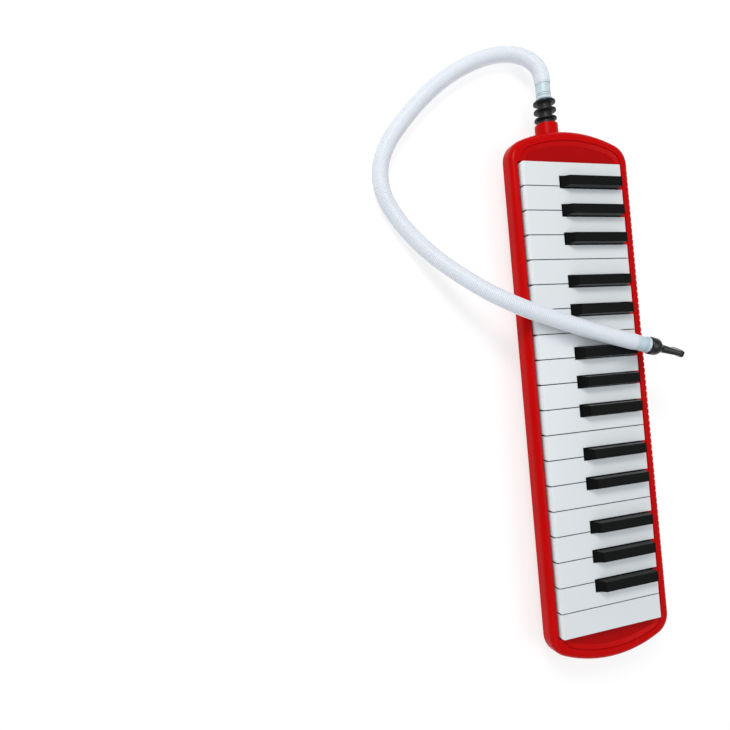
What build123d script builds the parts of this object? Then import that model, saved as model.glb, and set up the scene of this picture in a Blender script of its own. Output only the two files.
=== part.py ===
from build123d import *

# Melodica with 32 keys, its breath hose and its mouthpiece.
#
# Frame: the origin is the centre of the flat underside. +X runs along the case from the
# low notes and the blow neck (-X) to the high notes, +Y points away from the player
# towards the back of the case, and +Z is up. All sizes are in millimetres.
import math
import os

os.makedirs("parts", exist_ok=True)

# ---------------------------------------------------------------- driving sizes
# keyboard
white_count = 19            # F to C, two octaves and a fifth
black_gaps = {1: -3.2, 2: 0.0, 3: 3.2, 5: -1.8, 6: 1.8, 8: -3.2, 9: 0.0, 10: 3.2,
              12: -1.8, 13: 1.8, 15: -3.2, 16: 0.0, 17: 3.2}   # gap number: shift of its black key
key_pitch = 19.5            # from one white key to the next
key_gap = 0.7               # air between two white keys
white_length = 92.65        # front to rear of a white key's top
key_rear_y = 43.25          # rear face of every white key's head
white_top_z = 35.0          # playing surface above the table
white_plate = 2.2           # thickness of a white key's top
white_depth = 11.0          # top to the lower edge of a white key's skirts
skirt_wall = 1.5
skirt_front = 2.2
white_corner = 1.4          # plan rounding of the front corners
white_lip = 2.5             # rounding of the front lip
black_front_y = -15.4       # front face of the black keys
black_rear = 3.95           # rear face of a black key in front of the white keys' rear
black_base_width = 9.0
black_top_width = 7.5
black_rise = 6.5            # black top above white top
black_under_z = 30.0        # underside of a black key's head
black_nose = 4.6            # length of the sloping nose
black_nose_root = 0.5       # the nose starts this far below the white keys' top
black_wall = 1.6            # wall round the hollow in a black key
black_roof = 4.2            # thickness above that hollow
black_hollow = 24.0         # length of that hollow
black_side_gap = 0.6        # air beside a black key
black_front_gap = 1.1       # air in front of a black key, for its swing

# key lever, pivot and pad
pivot_y = 23.0
pivot_z = 26.0
rod_diameter = 2.5
rod_clearance = 0.10        # radial, key bore on rod
rod_seat_clearance = 0.02   # radial, support bore on rod
rod_overhang = 3.0          # rod beyond the last support
tail_width = 5.0
tail_under_z = 22.0
tail_end_y = 45.5
tail_end_top_z = 25.5
pad_width = 8.0             # along X
pad_length = 8.0            # along Y
pad_thickness = 1.95
pad_y = 40.0                # middle of the valve pad
pad_holder = 1.6
key_travel = 4.4            # dip at the front of a white key

# case
low_end = 27.95             # case beyond the keyboard at the neck's end
high_end = 24.55            # case beyond the keyboard at the other end
front_rail = 6.5            # case in front of the keys
back_rail = 13.0            # case behind the keys
end_radius = 116.0          # bow of the two ends
corner_radius = 18.0
parting_z = 18.5
key_stand = 4.0             # white keys stand this far above the upper case
rim_radius = 5.0
case_wall = 2.5
case_top = 3.2
rim_band = 9.0              # width of the raised outer band
groove_width = 0.9
groove_depth = 0.6
band_slope = 3.4            # width of the slope from the band to the end panels
panel_drop = 1.2            # end panels below the band
opening_gap = 1.0           # air round the keyboard
opening_corner = 1.2
floor_wall = 2.5
hull_foot_wall = 3.0        # side wall of the lower case at its floor
hull_front = 14.0           # how far the underside draws in from each side
hull_back = 2.5
hull_end = 8.0
hull_corner = 12.0
base_rounding = 1.6
lip_height = 1.6            # locating lip of the lower case inside the upper one
lip_wall = 1.0
lip_root = 1.0              # the lip's overlap with its wall
lip_clearance = 0.15

# sound vents along the back edge
vent_pitch = key_pitch / 4
vent_count = 76
vent_width = 1.4
vent_inner_y = 52.9
vent_floor_z = 25.0

# wind chamber and reed block
chamber_over = 2.75         # chamber beyond the keyboard at each end
chamber_front_y = -24.0
chamber_back_y = 45.5
chamber_z = 6.0
chamber_wall = 1.5
gasket_thickness = 0.6
gasket_width = 3.0
chamber_top_z = 14.0        # top of the tray walls
block_front_top = 2.0       # thickness of the block where it is a plain lid
cell_front_y = 6.0
cell_width = 7.4
cell_depth = 3.6
seat_z = 20.0               # face that the pads close on
valve_width = 5.4
valve_length = 6.0
support_width = 1.2
support_gap = 0.6           # air between an end support and its neighbour
support_length = 7.0
support_top = 1.5           # wall over the rod
reed_plate_thickness = 1.2
reed_plate_front_y = 4.0
reed_plate_back_y = 42.0
reed_width = 2.4
reed_thickness = 0.3
reed_gap = 0.25             # air round a reed's tongue in its slot
longest_reed = 30.0
shortest_reed = 13.0
reed_root_y = 38.0          # fixed end of the reeds
rivet_inset = 1.6           # rivet behind the end of the slot
plate_gap = 0.3             # air beside a reed plate
rivet_diameter = 1.2
rivet_head = 2.2

# blow neck, hose adapter, hose and mouthpiece
neck_y = -11.4
neck_z = 17.5
neck_diameter = 18.5
neck_reach = 9.0            # neck's tip beyond the case
neck_edge_share = 0.37      # rounding of the neck's edges, of its wall
neck_face_gap = 0.2         # adapter collar off the neck's face
neck_bore = 14.2
neck_socket_depth = 14.0
neck_air_bore = 9.0
spigot_diameter = 14.0
neck_step_gap = 3.0         # from the neck's step down to its spigot to the inlet tower
spigot_length = 7.0
case_hole_clearance = 0.15
inlet_top_z = 27.0
inlet_depth = 11.7          # length of the chamber's inlet tower along the case
plug_clearance = 0.10       # radial, adapter plug in the neck
plug_depth = 12.0
plug_chamfer = 0.4
plug_lead = 1.5             # length of that chamfer
disc_count = 3
disc_diameter = 17.8
disc_pitch = 7.0
disc_offset = 4.6           # neck's tip to the middle of the first disc
disc_edge = 1.2
disc_root = 2.4
adapter_core = 11.3
adapter_shoulder = 0.2      # adapter collar over the neck's bore, radial
nipple_diameter = 9.4
nipple_length = 11.0
air_bore = 6.0
cuff_diameter = 12.6
cuff_length = 11.5
cuff_clearance = 0.05       # radial, cuff on nipple
hose_diameter = 13.0
hose_wall = 1.1
collar_diameter = 14.0
collar_length = 10.0
collar_edge = 1.5
beak_length = 18.5
beak_width = 15.5           # across the lips
beak_root_width = 10.0
beak_root_thickness = 7.0
beak_tip_thickness = 4.6
beak_corner = 2.0
beak_lip = 1.4
beak_tilt = 20.0            # turn of the flat beak about the hose
beak_slot_width = 9.0
beak_slot_thickness = 1.8
beak_slot_corner = 0.85
bend_share = 0.45           # share of the shorter run that a bend of the hose takes at each end

# points of the hose, from the end of the first cuff to the start of the second
hose_points = [
    (-254.5, -11.4, 17.5), (-264.6, -11.4, 17.5), (-275.2, -17.4, 15.2), (-282.0, -29.4, 11.4),
    (-282.6, -44.6, 8.4), (-278.0, -61.0, 7.0), (-270.2, -77.6, 7.0), (-258.2, -96.6, 7.0),
    (-242.6, -115.4, 7.0), (-223.4, -133.4, 7.0), (-203.4, -149.2, 7.0), (-184.4, -156.8, 7.0),
    (-165.6, -156.2, 7.0), (-147.4, -148.2, 8.2), (-128.6, -135.4, 12.4), (-110.8, -122.6, 21.6),
    (-95.0, -109.4, 34.0), (-81.4, -95.8, 45.0), (-70.8, -80.0, 51.6), (-62.4, -60.0, 53.0),
    (-52.4, -29.0, 52.6), (-43.0, 2.0, 51.8), (-35.8, 28.8, 50.8)]

# fasteners and small parts
screw_diameter = 2.9
screw_head = 5.0
screw_head_height = 2.0
screw_cross = 3.0           # across the cross recess
pilot_over = 0.5            # pilot hole deeper than the screw
screw_length = 14.0
screw_clearance = 0.25
post_diameter = 7.6
screw_seat_z = 9.0
low_screw_inset = 13.5
high_screw_inset = 15.5
end_screw_y = 32.0
back_screw_y = 49.6
back_screw_x = (-120.0, 0.0, 120.0)
back_post = 6.4
felt_inset = 0.4            # felt behind the front of the white keys
felt_width = 6.0
felt_thickness = 1.5
felt_clearance = 0.3        # air between a pressed key and the felt
drain_inset = 21.7          # drain from the high end of the chamber
drain_y = 10.0
drain_cap = 9.0
drain_stem = 3.0
drain_hole = 4.4
drain_seal_diameter = 9.0
drain_seal_thickness = 1.4
drain_stroke = 1.8
drain_cap_height = 2.0
drain_recess = 0.5
drain_clearance = 0.3
strap_length = 132.0
strap_width = 24.0
strap_thickness = 1.5
strap_recess = 2.2
strap_y = -24.0
strap_gap = 0.5             # air between the strap and its channel
strap_corner = 5.0
stud_x = 58.0
stud_head = 9.0
stud_head_height = 0.6
stud_stem = 4.0
stud_foot = 6.0             # clenched foot inside the case
stud_clearance = 0.1
strap_pad = 4.6             # floor thickness over the strap channel

screw_slot = 0.9
rib_width = 3.0
chamber_ribs_x = (-150.0, -90.0, 90.0, 140.0)
spring_wire = 0.6
spring_turns = 3
spring_leg = 0.54           # diameter of the straight legs
turn_overlap = 0.05         # how much two turns touch
spring_play = 0.25          # air between a coil and the rod
spring_side = 0.25          # air between a coil and the key's tail
spring_reach = 9.0          # length of the leg under the key
spring_leg_z = 28.4         # height of that leg's end
drain_spring_diameter = 7.0
drain_spring_turns = 2.5

cut_over = 1.0              # how far a cutting shape passes the face that it cuts

# ---------------------------------------------------------------- worked-out sizes
keyboard_length = white_count * key_pitch
case_length = low_end + keyboard_length + high_end
keyboard_x = (low_end - high_end) / 2
first_key_x = keyboard_x - keyboard_length / 2
white_front_y = key_rear_y - white_length
case_front_y = white_front_y - front_rail
case_back_y = key_rear_y + back_rail
white_skirt_z = white_top_z - white_depth
rim_z = white_top_z - key_stand
black_top_z = white_top_z + black_rise
black_rear_y = key_rear_y - black_rear
chamber_half = keyboard_length / 2 + chamber_over
chamber_left = keyboard_x - chamber_half
inlet_x = chamber_left - inlet_depth
neck_tip_x = -case_length / 2 - neck_reach
neck_body_end_x = inlet_x - neck_step_gap
adapter_collar = neck_bore + 2 * adapter_shoulder
neck_edge = neck_edge_share * (neck_diameter - neck_bore) / 2
cuff_bore = nipple_diameter + 2 * cuff_clearance
drain_x = keyboard_x + chamber_half - drain_inset
felt_front_y = white_front_y + felt_inset
felt_back_y = felt_front_y + felt_width
end_screws = [(x, y) for x in (low_screw_inset - case_length / 2, case_length / 2 - high_screw_inset)
              for y in (-end_screw_y, end_screw_y)]
back_screws = [(x, back_screw_y) for x in back_screw_x]
all_screws = end_screws + back_screws
vent_round_y = vent_inner_y + vent_width / 2
inner_top_z = rim_z - case_top
chamber_floor_z = chamber_z + chamber_wall
block_z = chamber_top_z + gasket_thickness
plate_z = block_z - reed_plate_thickness
hose_start_x = hose_points[0][0]
felt_z = white_skirt_z - key_travel - felt_clearance


def gap_x(index):
    """Middle of the gap before white key number index."""
    return first_key_x + index * key_pitch


def white_sides(index):
    """Left and right edge of a white key beside its black neighbours."""
    reach = black_base_width / 2 + black_side_gap
    left = gap_x(index) + key_gap / 2
    right = gap_x(index + 1) - key_gap / 2
    if index in black_gaps:
        left = gap_x(index) + black_gaps[index] + reach
    if index + 1 in black_gaps:
        right = gap_x(index + 1) + black_gaps[index + 1] - reach
    return left, right


white_lanes = [sum(white_sides(i)) / 2 for i in range(white_count)]
black_lanes = [gap_x(i) + shift for i, shift in sorted(black_gaps.items())]
lanes = sorted(white_lanes + black_lanes)
coil_radius = rod_diameter / 2 + spring_play + spring_wire / 2
coil_pitch = spring_wire - turn_overlap
coil_half = (spring_turns - 1) / 2 * coil_pitch
coil_shift = tail_width / 2 + spring_side + spring_wire / 2 + coil_half
end_support = support_width / 2 + support_gap
supports_x = [lanes[0] - tail_width / 2 - end_support] + [
    (a + coil_shift + coil_half + spring_wire / 2 + b - tail_width / 2) / 2
    for a, b in zip(lanes, lanes[1:])] + [
    lanes[-1] + coil_shift + coil_half + end_support]


def save(piece, name):
    """Label a finished piece and write it."""
    piece.label = name
    export_step(piece, f"parts/{name}.step")


def outline(front=0.0, back=0.0, end=0.0, corner=corner_radius):
    """Plan of the case, drawn in from its front, back and ends."""
    half = case_length / 2 - end
    y_front = case_front_y + front
    y_back = case_back_y - back
    half_width = (y_back - y_front) / 2
    bow = end_radius - math.sqrt(end_radius ** 2 - half_width ** 2)
    middle = (y_front + y_back) / 2
    with BuildSketch() as plan:
        with BuildLine():
            Line((-half + bow, y_front), (half - bow, y_front))
            ThreePointArc((half - bow, y_front), (half, middle), (half - bow, y_back))
            Line((half - bow, y_back), (-half + bow, y_back))
            ThreePointArc((-half + bow, y_back), (-half, middle), (-half + bow, y_front))
        make_face()
        fillet(plan.vertices(), corner)
    return plan.sketch


def inset(distance):
    """Plan of the case drawn in by the same distance all round."""
    return outline(distance, distance, distance, corner_radius - distance / 2)


# ---------------------------------------------------------------- upper case
with BuildPart() as band_slope_cut:
    with BuildSketch(Plane.XY.offset(rim_z)):
        add(inset(rim_band))
    with BuildSketch(Plane.XY.offset(rim_z - panel_drop)):
        add(inset(rim_band + band_slope))
    loft(ruled=True)

opening_x0 = first_key_x + key_gap / 2 - opening_gap
opening_x1 = first_key_x + keyboard_length - key_gap / 2 + opening_gap
opening_y0 = white_front_y - opening_gap
opening_y1 = key_rear_y + opening_gap

with BuildPart() as upper_case:
    with BuildSketch(Plane.XY.offset(parting_z)):
        add(inset(0.0))
    extrude(amount=rim_z - parting_z)
    fillet(upper_case.faces().sort_by(Axis.Z)[-1].edges(), rim_radius)
    with BuildSketch(Plane.XY.offset(parting_z)):
        add(inset(case_wall))
    extrude(amount=inner_top_z - parting_z, mode=Mode.SUBTRACT)
    # screw bosses hang from the top
    with BuildSketch(Plane.XY.offset(parting_z)):
        with Locations(*end_screws):
            Circle(post_diameter / 2)
        with Locations(*back_screws):
            Circle(back_post / 2)
    extrude(amount=inner_top_z - parting_z)
    # raised band, groove and sloping step down to the end panels
    add(band_slope_cut.part, mode=Mode.SUBTRACT)
    with BuildSketch(Plane.XY.offset(rim_z)):
        add(inset(rim_band - groove_width))
        add(inset(rim_band), mode=Mode.SUBTRACT)
    extrude(amount=-groove_depth, mode=Mode.SUBTRACT)
    # opening for the keyboard
    with BuildSketch(Plane.XY.offset(parting_z)) as key_opening:
        with Locations(((opening_x0 + opening_x1) / 2, (opening_y0 + opening_y1) / 2)):
            Rectangle(opening_x1 - opening_x0, opening_y1 - opening_y0)
        fillet(key_opening.vertices(), opening_corner)
    extrude(amount=rim_z - parting_z, mode=Mode.SUBTRACT)
    # sound vents, open to the back edge
    with BuildSketch(Plane.XY.offset(vent_floor_z)):
        with GridLocations(vent_pitch, 0, vent_count, 1):
            with Locations((keyboard_x, vent_round_y)):
                Circle(vent_width / 2)
            with Locations((keyboard_x, (vent_round_y + case_back_y + cut_over) / 2)):
                Rectangle(vent_width, case_back_y + cut_over - vent_round_y)
    extrude(amount=rim_z - vent_floor_z, mode=Mode.SUBTRACT)
    # hole for the blow neck
    with BuildSketch(Plane.YZ.offset(-case_length / 2 - cut_over)):
        with Locations((neck_y, neck_z)):
            Circle(neck_diameter / 2 + case_hole_clearance)
    extrude(amount=neck_body_end_x + case_length / 2 + cut_over, mode=Mode.SUBTRACT)
    # pilot holes for the case screws
    with BuildSketch(Plane.XY.offset(parting_z)):
        with Locations(*all_screws):
            Circle(screw_diameter / 2)
    extrude(amount=screw_seat_z + screw_length + pilot_over - parting_z, mode=Mode.SUBTRACT)
save(upper_case.part, "upper_case")


# ---------------------------------------------------------------- lower case
def hull(z, wall):
    """Plan of the lower case at a height, drawn in by a wall."""
    share = (parting_z - z) / parting_z
    return outline(hull_front * share + wall, hull_back * share + wall, hull_end * share + wall,
                   corner_radius - (corner_radius - hull_corner) * share - wall / 2)


with BuildPart() as hull_outside:
    with BuildSketch(Plane.XY):
        add(hull(0.0, 0.0))
    with BuildSketch(Plane.XY.offset(parting_z)):
        add(hull(parting_z, 0.0))
    loft(ruled=True)
    fillet(hull_outside.faces().sort_by(Axis.Z)[0].edges(), base_rounding)

with BuildPart() as hull_inside:
    with BuildSketch(Plane.XY.offset(floor_wall)):
        add(hull(floor_wall, hull_foot_wall))
    with BuildSketch(Plane.XY.offset(parting_z)):
        add(hull(parting_z, case_wall))
    loft(ruled=True)

# everything that stands up from the floor, trimmed to the hull
with BuildPart() as floor_works:
    with BuildSketch(Plane.XY.offset(base_rounding)):
        with Locations((keyboard_x, (felt_front_y + felt_back_y) / 2)):
            Rectangle(keyboard_length, felt_back_y - felt_front_y)
    extrude(amount=felt_z - felt_thickness - base_rounding)
    with BuildSketch(Plane.XY.offset(base_rounding)):
        with Locations(*end_screws):
            Circle(post_diameter / 2)
        with Locations(*back_screws):
            Circle(back_post / 2)
    extrude(amount=parting_z - base_rounding)
    # thicker floor over the strap channel, and the ribs that carry the wind chamber
    with BuildSketch(Plane.XY.offset(base_rounding)):
        with Locations((0, strap_y)):
            Rectangle(strap_length + 2 * case_wall, strap_width + 2 * case_wall)
    extrude(amount=strap_pad - base_rounding)
    with BuildSketch(Plane.XY.offset(base_rounding)):
        for x in chamber_ribs_x:
            with Locations((x, (chamber_front_y + chamber_back_y) / 2)):
                Rectangle(rib_width, chamber_back_y - chamber_front_y)
    extrude(amount=chamber_z - base_rounding)
    add(hull_outside.part, mode=Mode.INTERSECT)

with BuildPart() as lower_case:
    add(hull_outside.part)
    add(hull_inside.part, mode=Mode.SUBTRACT)
    # locating lip inside the upper case, broken at the back bosses
    with BuildSketch(Plane.XY.offset(parting_z - lip_root)):
        add(inset(case_wall + lip_clearance))
        add(inset(case_wall + lip_clearance + lip_wall), mode=Mode.SUBTRACT)
        with Locations(*back_screws):
            Circle(back_post / 2 + 2 * lip_clearance, mode=Mode.SUBTRACT)
    extrude(amount=lip_root + lip_height)
    add(floor_works.part)
    # screw holes with deep head recesses
    with BuildSketch(Plane.XY):
        with Locations(*all_screws):
            Circle(screw_head / 2 + screw_clearance)
    extrude(amount=screw_seat_z, mode=Mode.SUBTRACT)
    with BuildSketch(Plane.XY):
        with Locations(*all_screws):
            Circle(screw_diameter / 2 + screw_clearance)
    extrude(amount=parting_z, mode=Mode.SUBTRACT)
    # blow neck
    with BuildSketch(Plane.YZ.offset(-case_length / 2 - cut_over)):
        with Locations((neck_y, neck_z)):
            Circle(neck_diameter / 2 + case_hole_clearance)
    extrude(amount=neck_body_end_x + case_length / 2 + cut_over, mode=Mode.SUBTRACT)
    # drain button hole, strap channel and the holes of the strap's studs
    with BuildSketch(Plane.XY):
        with Locations((drain_x, drain_y)):
            Circle(drain_cap / 2 + drain_clearance)
    extrude(amount=chamber_z, mode=Mode.SUBTRACT)
    with BuildSketch(Plane.XY):
        with Locations((0, strap_y)):
            RectangleRounded(strap_length + 2 * strap_gap, strap_width + 2 * strap_gap,
                             strap_corner + strap_gap)
    extrude(amount=strap_recess, mode=Mode.SUBTRACT)
    with BuildSketch(Plane.XY):
        with Locations((-stud_x, strap_y), (stud_x, strap_y)):
            Circle(stud_stem / 2 + stud_clearance)
    extrude(amount=strap_pad, mode=Mode.SUBTRACT)
save(lower_case.part, "lower_case")

# ---------------------------------------------------------------- fasteners and felt
with BuildPart() as case_screws:
    with BuildSketch(Plane.XY.offset(screw_seat_z - screw_head_height)):
        with Locations(*all_screws):
            Circle(screw_head / 2)
    extrude(amount=screw_head_height)
    with BuildSketch(Plane.XY.offset(screw_seat_z)):
        with Locations(*all_screws):
            Circle(screw_diameter / 2)
    extrude(amount=screw_length)
    with BuildSketch(Plane.XY.offset(screw_seat_z - screw_head_height)):
        with Locations(*all_screws):
            Rectangle(screw_cross, screw_slot)
            Rectangle(screw_slot, screw_cross)
    extrude(amount=screw_head_height / 2, mode=Mode.SUBTRACT)
save(case_screws.part, "case_screws")

with BuildPart() as key_stop_felt:
    with BuildSketch(Plane.XY.offset(felt_z - felt_thickness)):
        with Locations((keyboard_x, (felt_front_y + felt_back_y) / 2)):
            Rectangle(keyboard_length, felt_back_y - felt_front_y)
    extrude(amount=felt_thickness)
save(key_stop_felt.part, "key_stop_felt")

# ---------------------------------------------------------------- wind chamber
chamber_width = chamber_back_y - chamber_front_y
chamber_mid = (keyboard_x, (chamber_front_y + chamber_back_y) / 2)
inlet_back_y = 2 * neck_y - chamber_front_y

with BuildPart() as wind_chamber:
    with BuildSketch(Plane.XY.offset(chamber_z)):
        with Locations(chamber_mid):
            Rectangle(2 * chamber_half, chamber_width)
    extrude(amount=chamber_top_z - chamber_z)
    # inlet tower for the blow neck's spigot
    with BuildSketch(Plane.XY.offset(chamber_z)):
        with Locations(((inlet_x + chamber_left) / 2, neck_y)):
            Rectangle(chamber_left - inlet_x, inlet_back_y - chamber_front_y)
    extrude(amount=inlet_top_z - chamber_z)
    with BuildSketch(Plane.XY.offset(chamber_floor_z)):
        with Locations(chamber_mid):
            Rectangle(2 * (chamber_half - chamber_wall), chamber_width - 2 * chamber_wall)
    extrude(amount=chamber_top_z - chamber_floor_z, mode=Mode.SUBTRACT)
    with BuildSketch(Plane.XY.offset(chamber_floor_z)):
        with Locations(((inlet_x + chamber_left) / 2, neck_y)):
            Rectangle(chamber_left - inlet_x - 2 * chamber_wall,
                      inlet_back_y - chamber_front_y - 2 * chamber_wall)
    extrude(amount=inlet_top_z - chamber_wall - chamber_floor_z, mode=Mode.SUBTRACT)
    # way through from the tower to the tray
    with BuildSketch(Plane.XY.offset(chamber_floor_z)):
        with Locations((chamber_left, neck_y)):
            Rectangle(4 * chamber_wall, inlet_back_y - chamber_front_y - 4 * chamber_wall)
    extrude(amount=chamber_top_z - chamber_wall - chamber_floor_z, mode=Mode.SUBTRACT)
    with BuildSketch(Plane.YZ.offset(inlet_x)):
        with Locations((neck_y, neck_z)):
            Circle(spigot_diameter / 2 + rod_seat_clearance)
    extrude(amount=chamber_wall, mode=Mode.SUBTRACT)
    with BuildSketch(Plane.XY.offset(chamber_z)):
        with Locations((drain_x, drain_y)):
            Circle(drain_hole / 2)
    extrude(amount=chamber_wall, mode=Mode.SUBTRACT)
save(wind_chamber.part, "wind_chamber")

with BuildPart() as chamber_gasket:
    with BuildSketch(Plane.XY.offset(chamber_top_z)):
        with Locations(chamber_mid):
            Rectangle(2 * chamber_half, chamber_width)
            Rectangle(2 * (chamber_half - gasket_width), chamber_width - 2 * gasket_width,
                      mode=Mode.SUBTRACT)
    extrude(amount=gasket_thickness)
save(chamber_gasket.part, "chamber_gasket")

cell_back_y = chamber_back_y - chamber_wall
with BuildPart() as reed_block:
    with BuildSketch(Plane.XY.offset(block_z)):
        with Locations(chamber_mid):
            Rectangle(2 * chamber_half, chamber_width)
    extrude(amount=block_front_top)
    with BuildSketch(Plane.XY.offset(block_z)):
        with Locations((keyboard_x, (cell_front_y - chamber_wall + chamber_back_y) / 2)):
            Rectangle(2 * chamber_half, chamber_back_y - cell_front_y + chamber_wall)
    extrude(amount=seat_z - block_z)
    # rod supports between the keys' tails
    with BuildSketch(Plane.XY.offset(seat_z)):
        with Locations(*[(x, pivot_y) for x in supports_x]):
            Rectangle(support_width, support_length)
    extrude(amount=pivot_z + rod_diameter / 2 + support_top - seat_z)
    # one reed cell and one valve hole for each key
    with BuildSketch(Plane.XY.offset(block_z)):
        with Locations(*[(x, (cell_front_y + cell_back_y) / 2) for x in lanes]):
            Rectangle(cell_width, cell_back_y - cell_front_y)
    extrude(amount=cell_depth, mode=Mode.SUBTRACT)
    with BuildSketch(Plane.XY.offset(block_z)):
        with Locations(*[(x, pad_y) for x in lanes]):
            Rectangle(valve_width, valve_length)
    extrude(amount=seat_z - block_z, mode=Mode.SUBTRACT)
    with BuildSketch(Plane.YZ.offset(supports_x[0] - support_width)):
        with Locations((pivot_y, pivot_z)):
            Circle(rod_diameter / 2 + rod_seat_clearance)
    extrude(amount=supports_x[-1] - supports_x[0] + 2 * support_width, mode=Mode.SUBTRACT)
save(reed_block.part, "reed_block")

# ---------------------------------------------------------------- reed plates and reeds
def reed_length(order):
    """Free length of the reed of key number order, counted from the low end."""
    share = order / (len(lanes) - 1)
    return longest_reed + (shortest_reed - longest_reed) * math.sqrt(share)


half_count = len(lanes) // 2
plate_split = (lanes[half_count - 1] + lanes[half_count]) / 2
plate_edges = {"reed_plate_low": (chamber_left + gasket_width + plate_gap, plate_split - plate_gap),
               "reed_plate_high": (plate_split + plate_gap,
                                   keyboard_x + chamber_half - gasket_width - plate_gap)}
for name, (x0, x1) in plate_edges.items():
    own = [(x, reed_length(i)) for i, x in enumerate(lanes) if x0 < x < x1]
    with BuildPart() as reed_plate:
        with BuildSketch(Plane.XY.offset(plate_z)):
            with Locations(((x0 + x1) / 2, (reed_plate_front_y + reed_plate_back_y) / 2)):
                Rectangle(x1 - x0, reed_plate_back_y - reed_plate_front_y)
            for x, length in own:
                with Locations((x, reed_root_y - (length + reed_gap) / 2)):
                    Rectangle(reed_width + 2 * reed_gap, length + reed_gap, mode=Mode.SUBTRACT)
                with Locations((x, reed_root_y + rivet_inset)):
                    Circle(rivet_diameter / 2 + rod_seat_clearance, mode=Mode.SUBTRACT)
        extrude(amount=reed_plate_thickness)
    save(reed_plate.part, name)

with BuildPart() as reeds:
    with BuildSketch(Plane.XY.offset(plate_z - reed_thickness)):
        for i, x in enumerate(lanes):
            length = reed_length(i) + 2 * rivet_inset
            with Locations((x, reed_root_y + 2 * rivet_inset - length / 2)):
                Rectangle(reed_width, length)
            with Locations((x, reed_root_y + rivet_inset)):
                Circle(rivet_diameter / 2 + rod_seat_clearance, mode=Mode.SUBTRACT)
    extrude(amount=reed_thickness)
save(reeds.part, "reeds")

with BuildPart() as reed_rivets:
    with BuildSketch(Plane.XY.offset(plate_z - reed_thickness)):
        with Locations(*[(x, reed_root_y + rivet_inset) for x in lanes]):
            Circle(rivet_diameter / 2)
    extrude(amount=reed_thickness + reed_plate_thickness)
    with BuildSketch(Plane.XY.offset(plate_z - reed_thickness)):
        with Locations(*[(x, reed_root_y + rivet_inset) for x in lanes]):
            Circle(rivet_head / 2)
    extrude(amount=-reed_thickness)
save(reed_rivets.part, "reed_rivets")

# ---------------------------------------------------------------- pivot rod and springs
with BuildPart() as pivot_rod:
    with BuildSketch(Plane.YZ.offset(supports_x[0] - rod_overhang)):
        with Locations((pivot_y, pivot_z)):
            Circle(rod_diameter / 2)
    extrude(amount=supports_x[-1] - supports_x[0] + 2 * rod_overhang)
save(pivot_rod.part, "pivot_rod")

leg_turn = math.degrees(math.atan2(spring_leg_z - pivot_z - coil_radius, spring_reach))
with BuildPart() as one_spring:
    # three close turns round the rod
    with BuildSketch(Plane.XY):
        for turn in range(spring_turns):
            with Locations((turn * coil_pitch - coil_half, coil_radius)):
                Circle(spring_wire / 2)
    revolve(axis=Axis.X)
    # upper leg forward under the key, lower leg down to the reed block
    upper_way = Vector(0, -1, 0).rotate(Axis.X, -leg_turn)
    with BuildSketch(Plane(origin=(-coil_half, spring_wire, coil_radius), z_dir=upper_way)):
        Circle(spring_leg / 2)
    extrude(amount=spring_reach)
    with BuildSketch(Plane(origin=(coil_half, -coil_radius, spring_wire), z_dir=(0, 0, -1))):
        Circle(spring_leg / 2)
    extrude(amount=pivot_z - seat_z + spring_wire)

with BuildPart() as key_springs:
    with Locations(*[(x + coil_shift, pivot_y, pivot_z) for x in lanes]):
        add(one_spring.part)
save(key_springs.part, "key_springs")


# ---------------------------------------------------------------- keys
def lever(lane, top_z):
    """Tail of a key inside the open part: rib and pad holder."""
    front_y = black_front_y + black_front_gap + black_wall
    with BuildPart() as tail:
        with BuildSketch(Plane.XY.offset(tail_under_z)):
            with Locations((lane, (front_y + key_rear_y) / 2)):
                Rectangle(tail_width, key_rear_y - front_y)
        extrude(amount=top_z - tail_under_z)
        with BuildSketch(Plane.XY.offset(tail_under_z)):
            with Locations((lane, (key_rear_y + tail_end_y) / 2)):
                Rectangle(tail_width, tail_end_y - key_rear_y)
        extrude(amount=tail_end_top_z - tail_under_z)
        with BuildSketch(Plane.XY.offset(tail_under_z)):
            with Locations((lane, pad_y)):
                Rectangle(pad_width, pad_length)
        extrude(amount=pad_holder)
    return tail.part


def pivot_bore(lane):
    """Bore for the rod through a key's lever."""
    with BuildPart() as bore:
        with BuildSketch(Plane.YZ.offset(lane - key_pitch / 2)):
            with Locations((pivot_y, pivot_z)):
                Circle(rod_diameter / 2 + rod_clearance)
        extrude(amount=key_pitch)
    return bore.part


def valve_pad(lane):
    """Soft pad under a key's tail, resting on the valve hole."""
    with BuildPart() as pad:
        with BuildSketch(Plane.XY.offset(tail_under_z)):
            with Locations((lane, pad_y)):
                Rectangle(pad_width, pad_length)
        extrude(amount=-pad_thickness)
    return pad.part


def save_key(key, lane, name):
    """Write a key and its pad, two solids of one node."""
    pad = valve_pad(lane)
    key.label = name
    pad.label = name + "_pad"
    save(Compound(children=[key, pad]), name)


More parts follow.
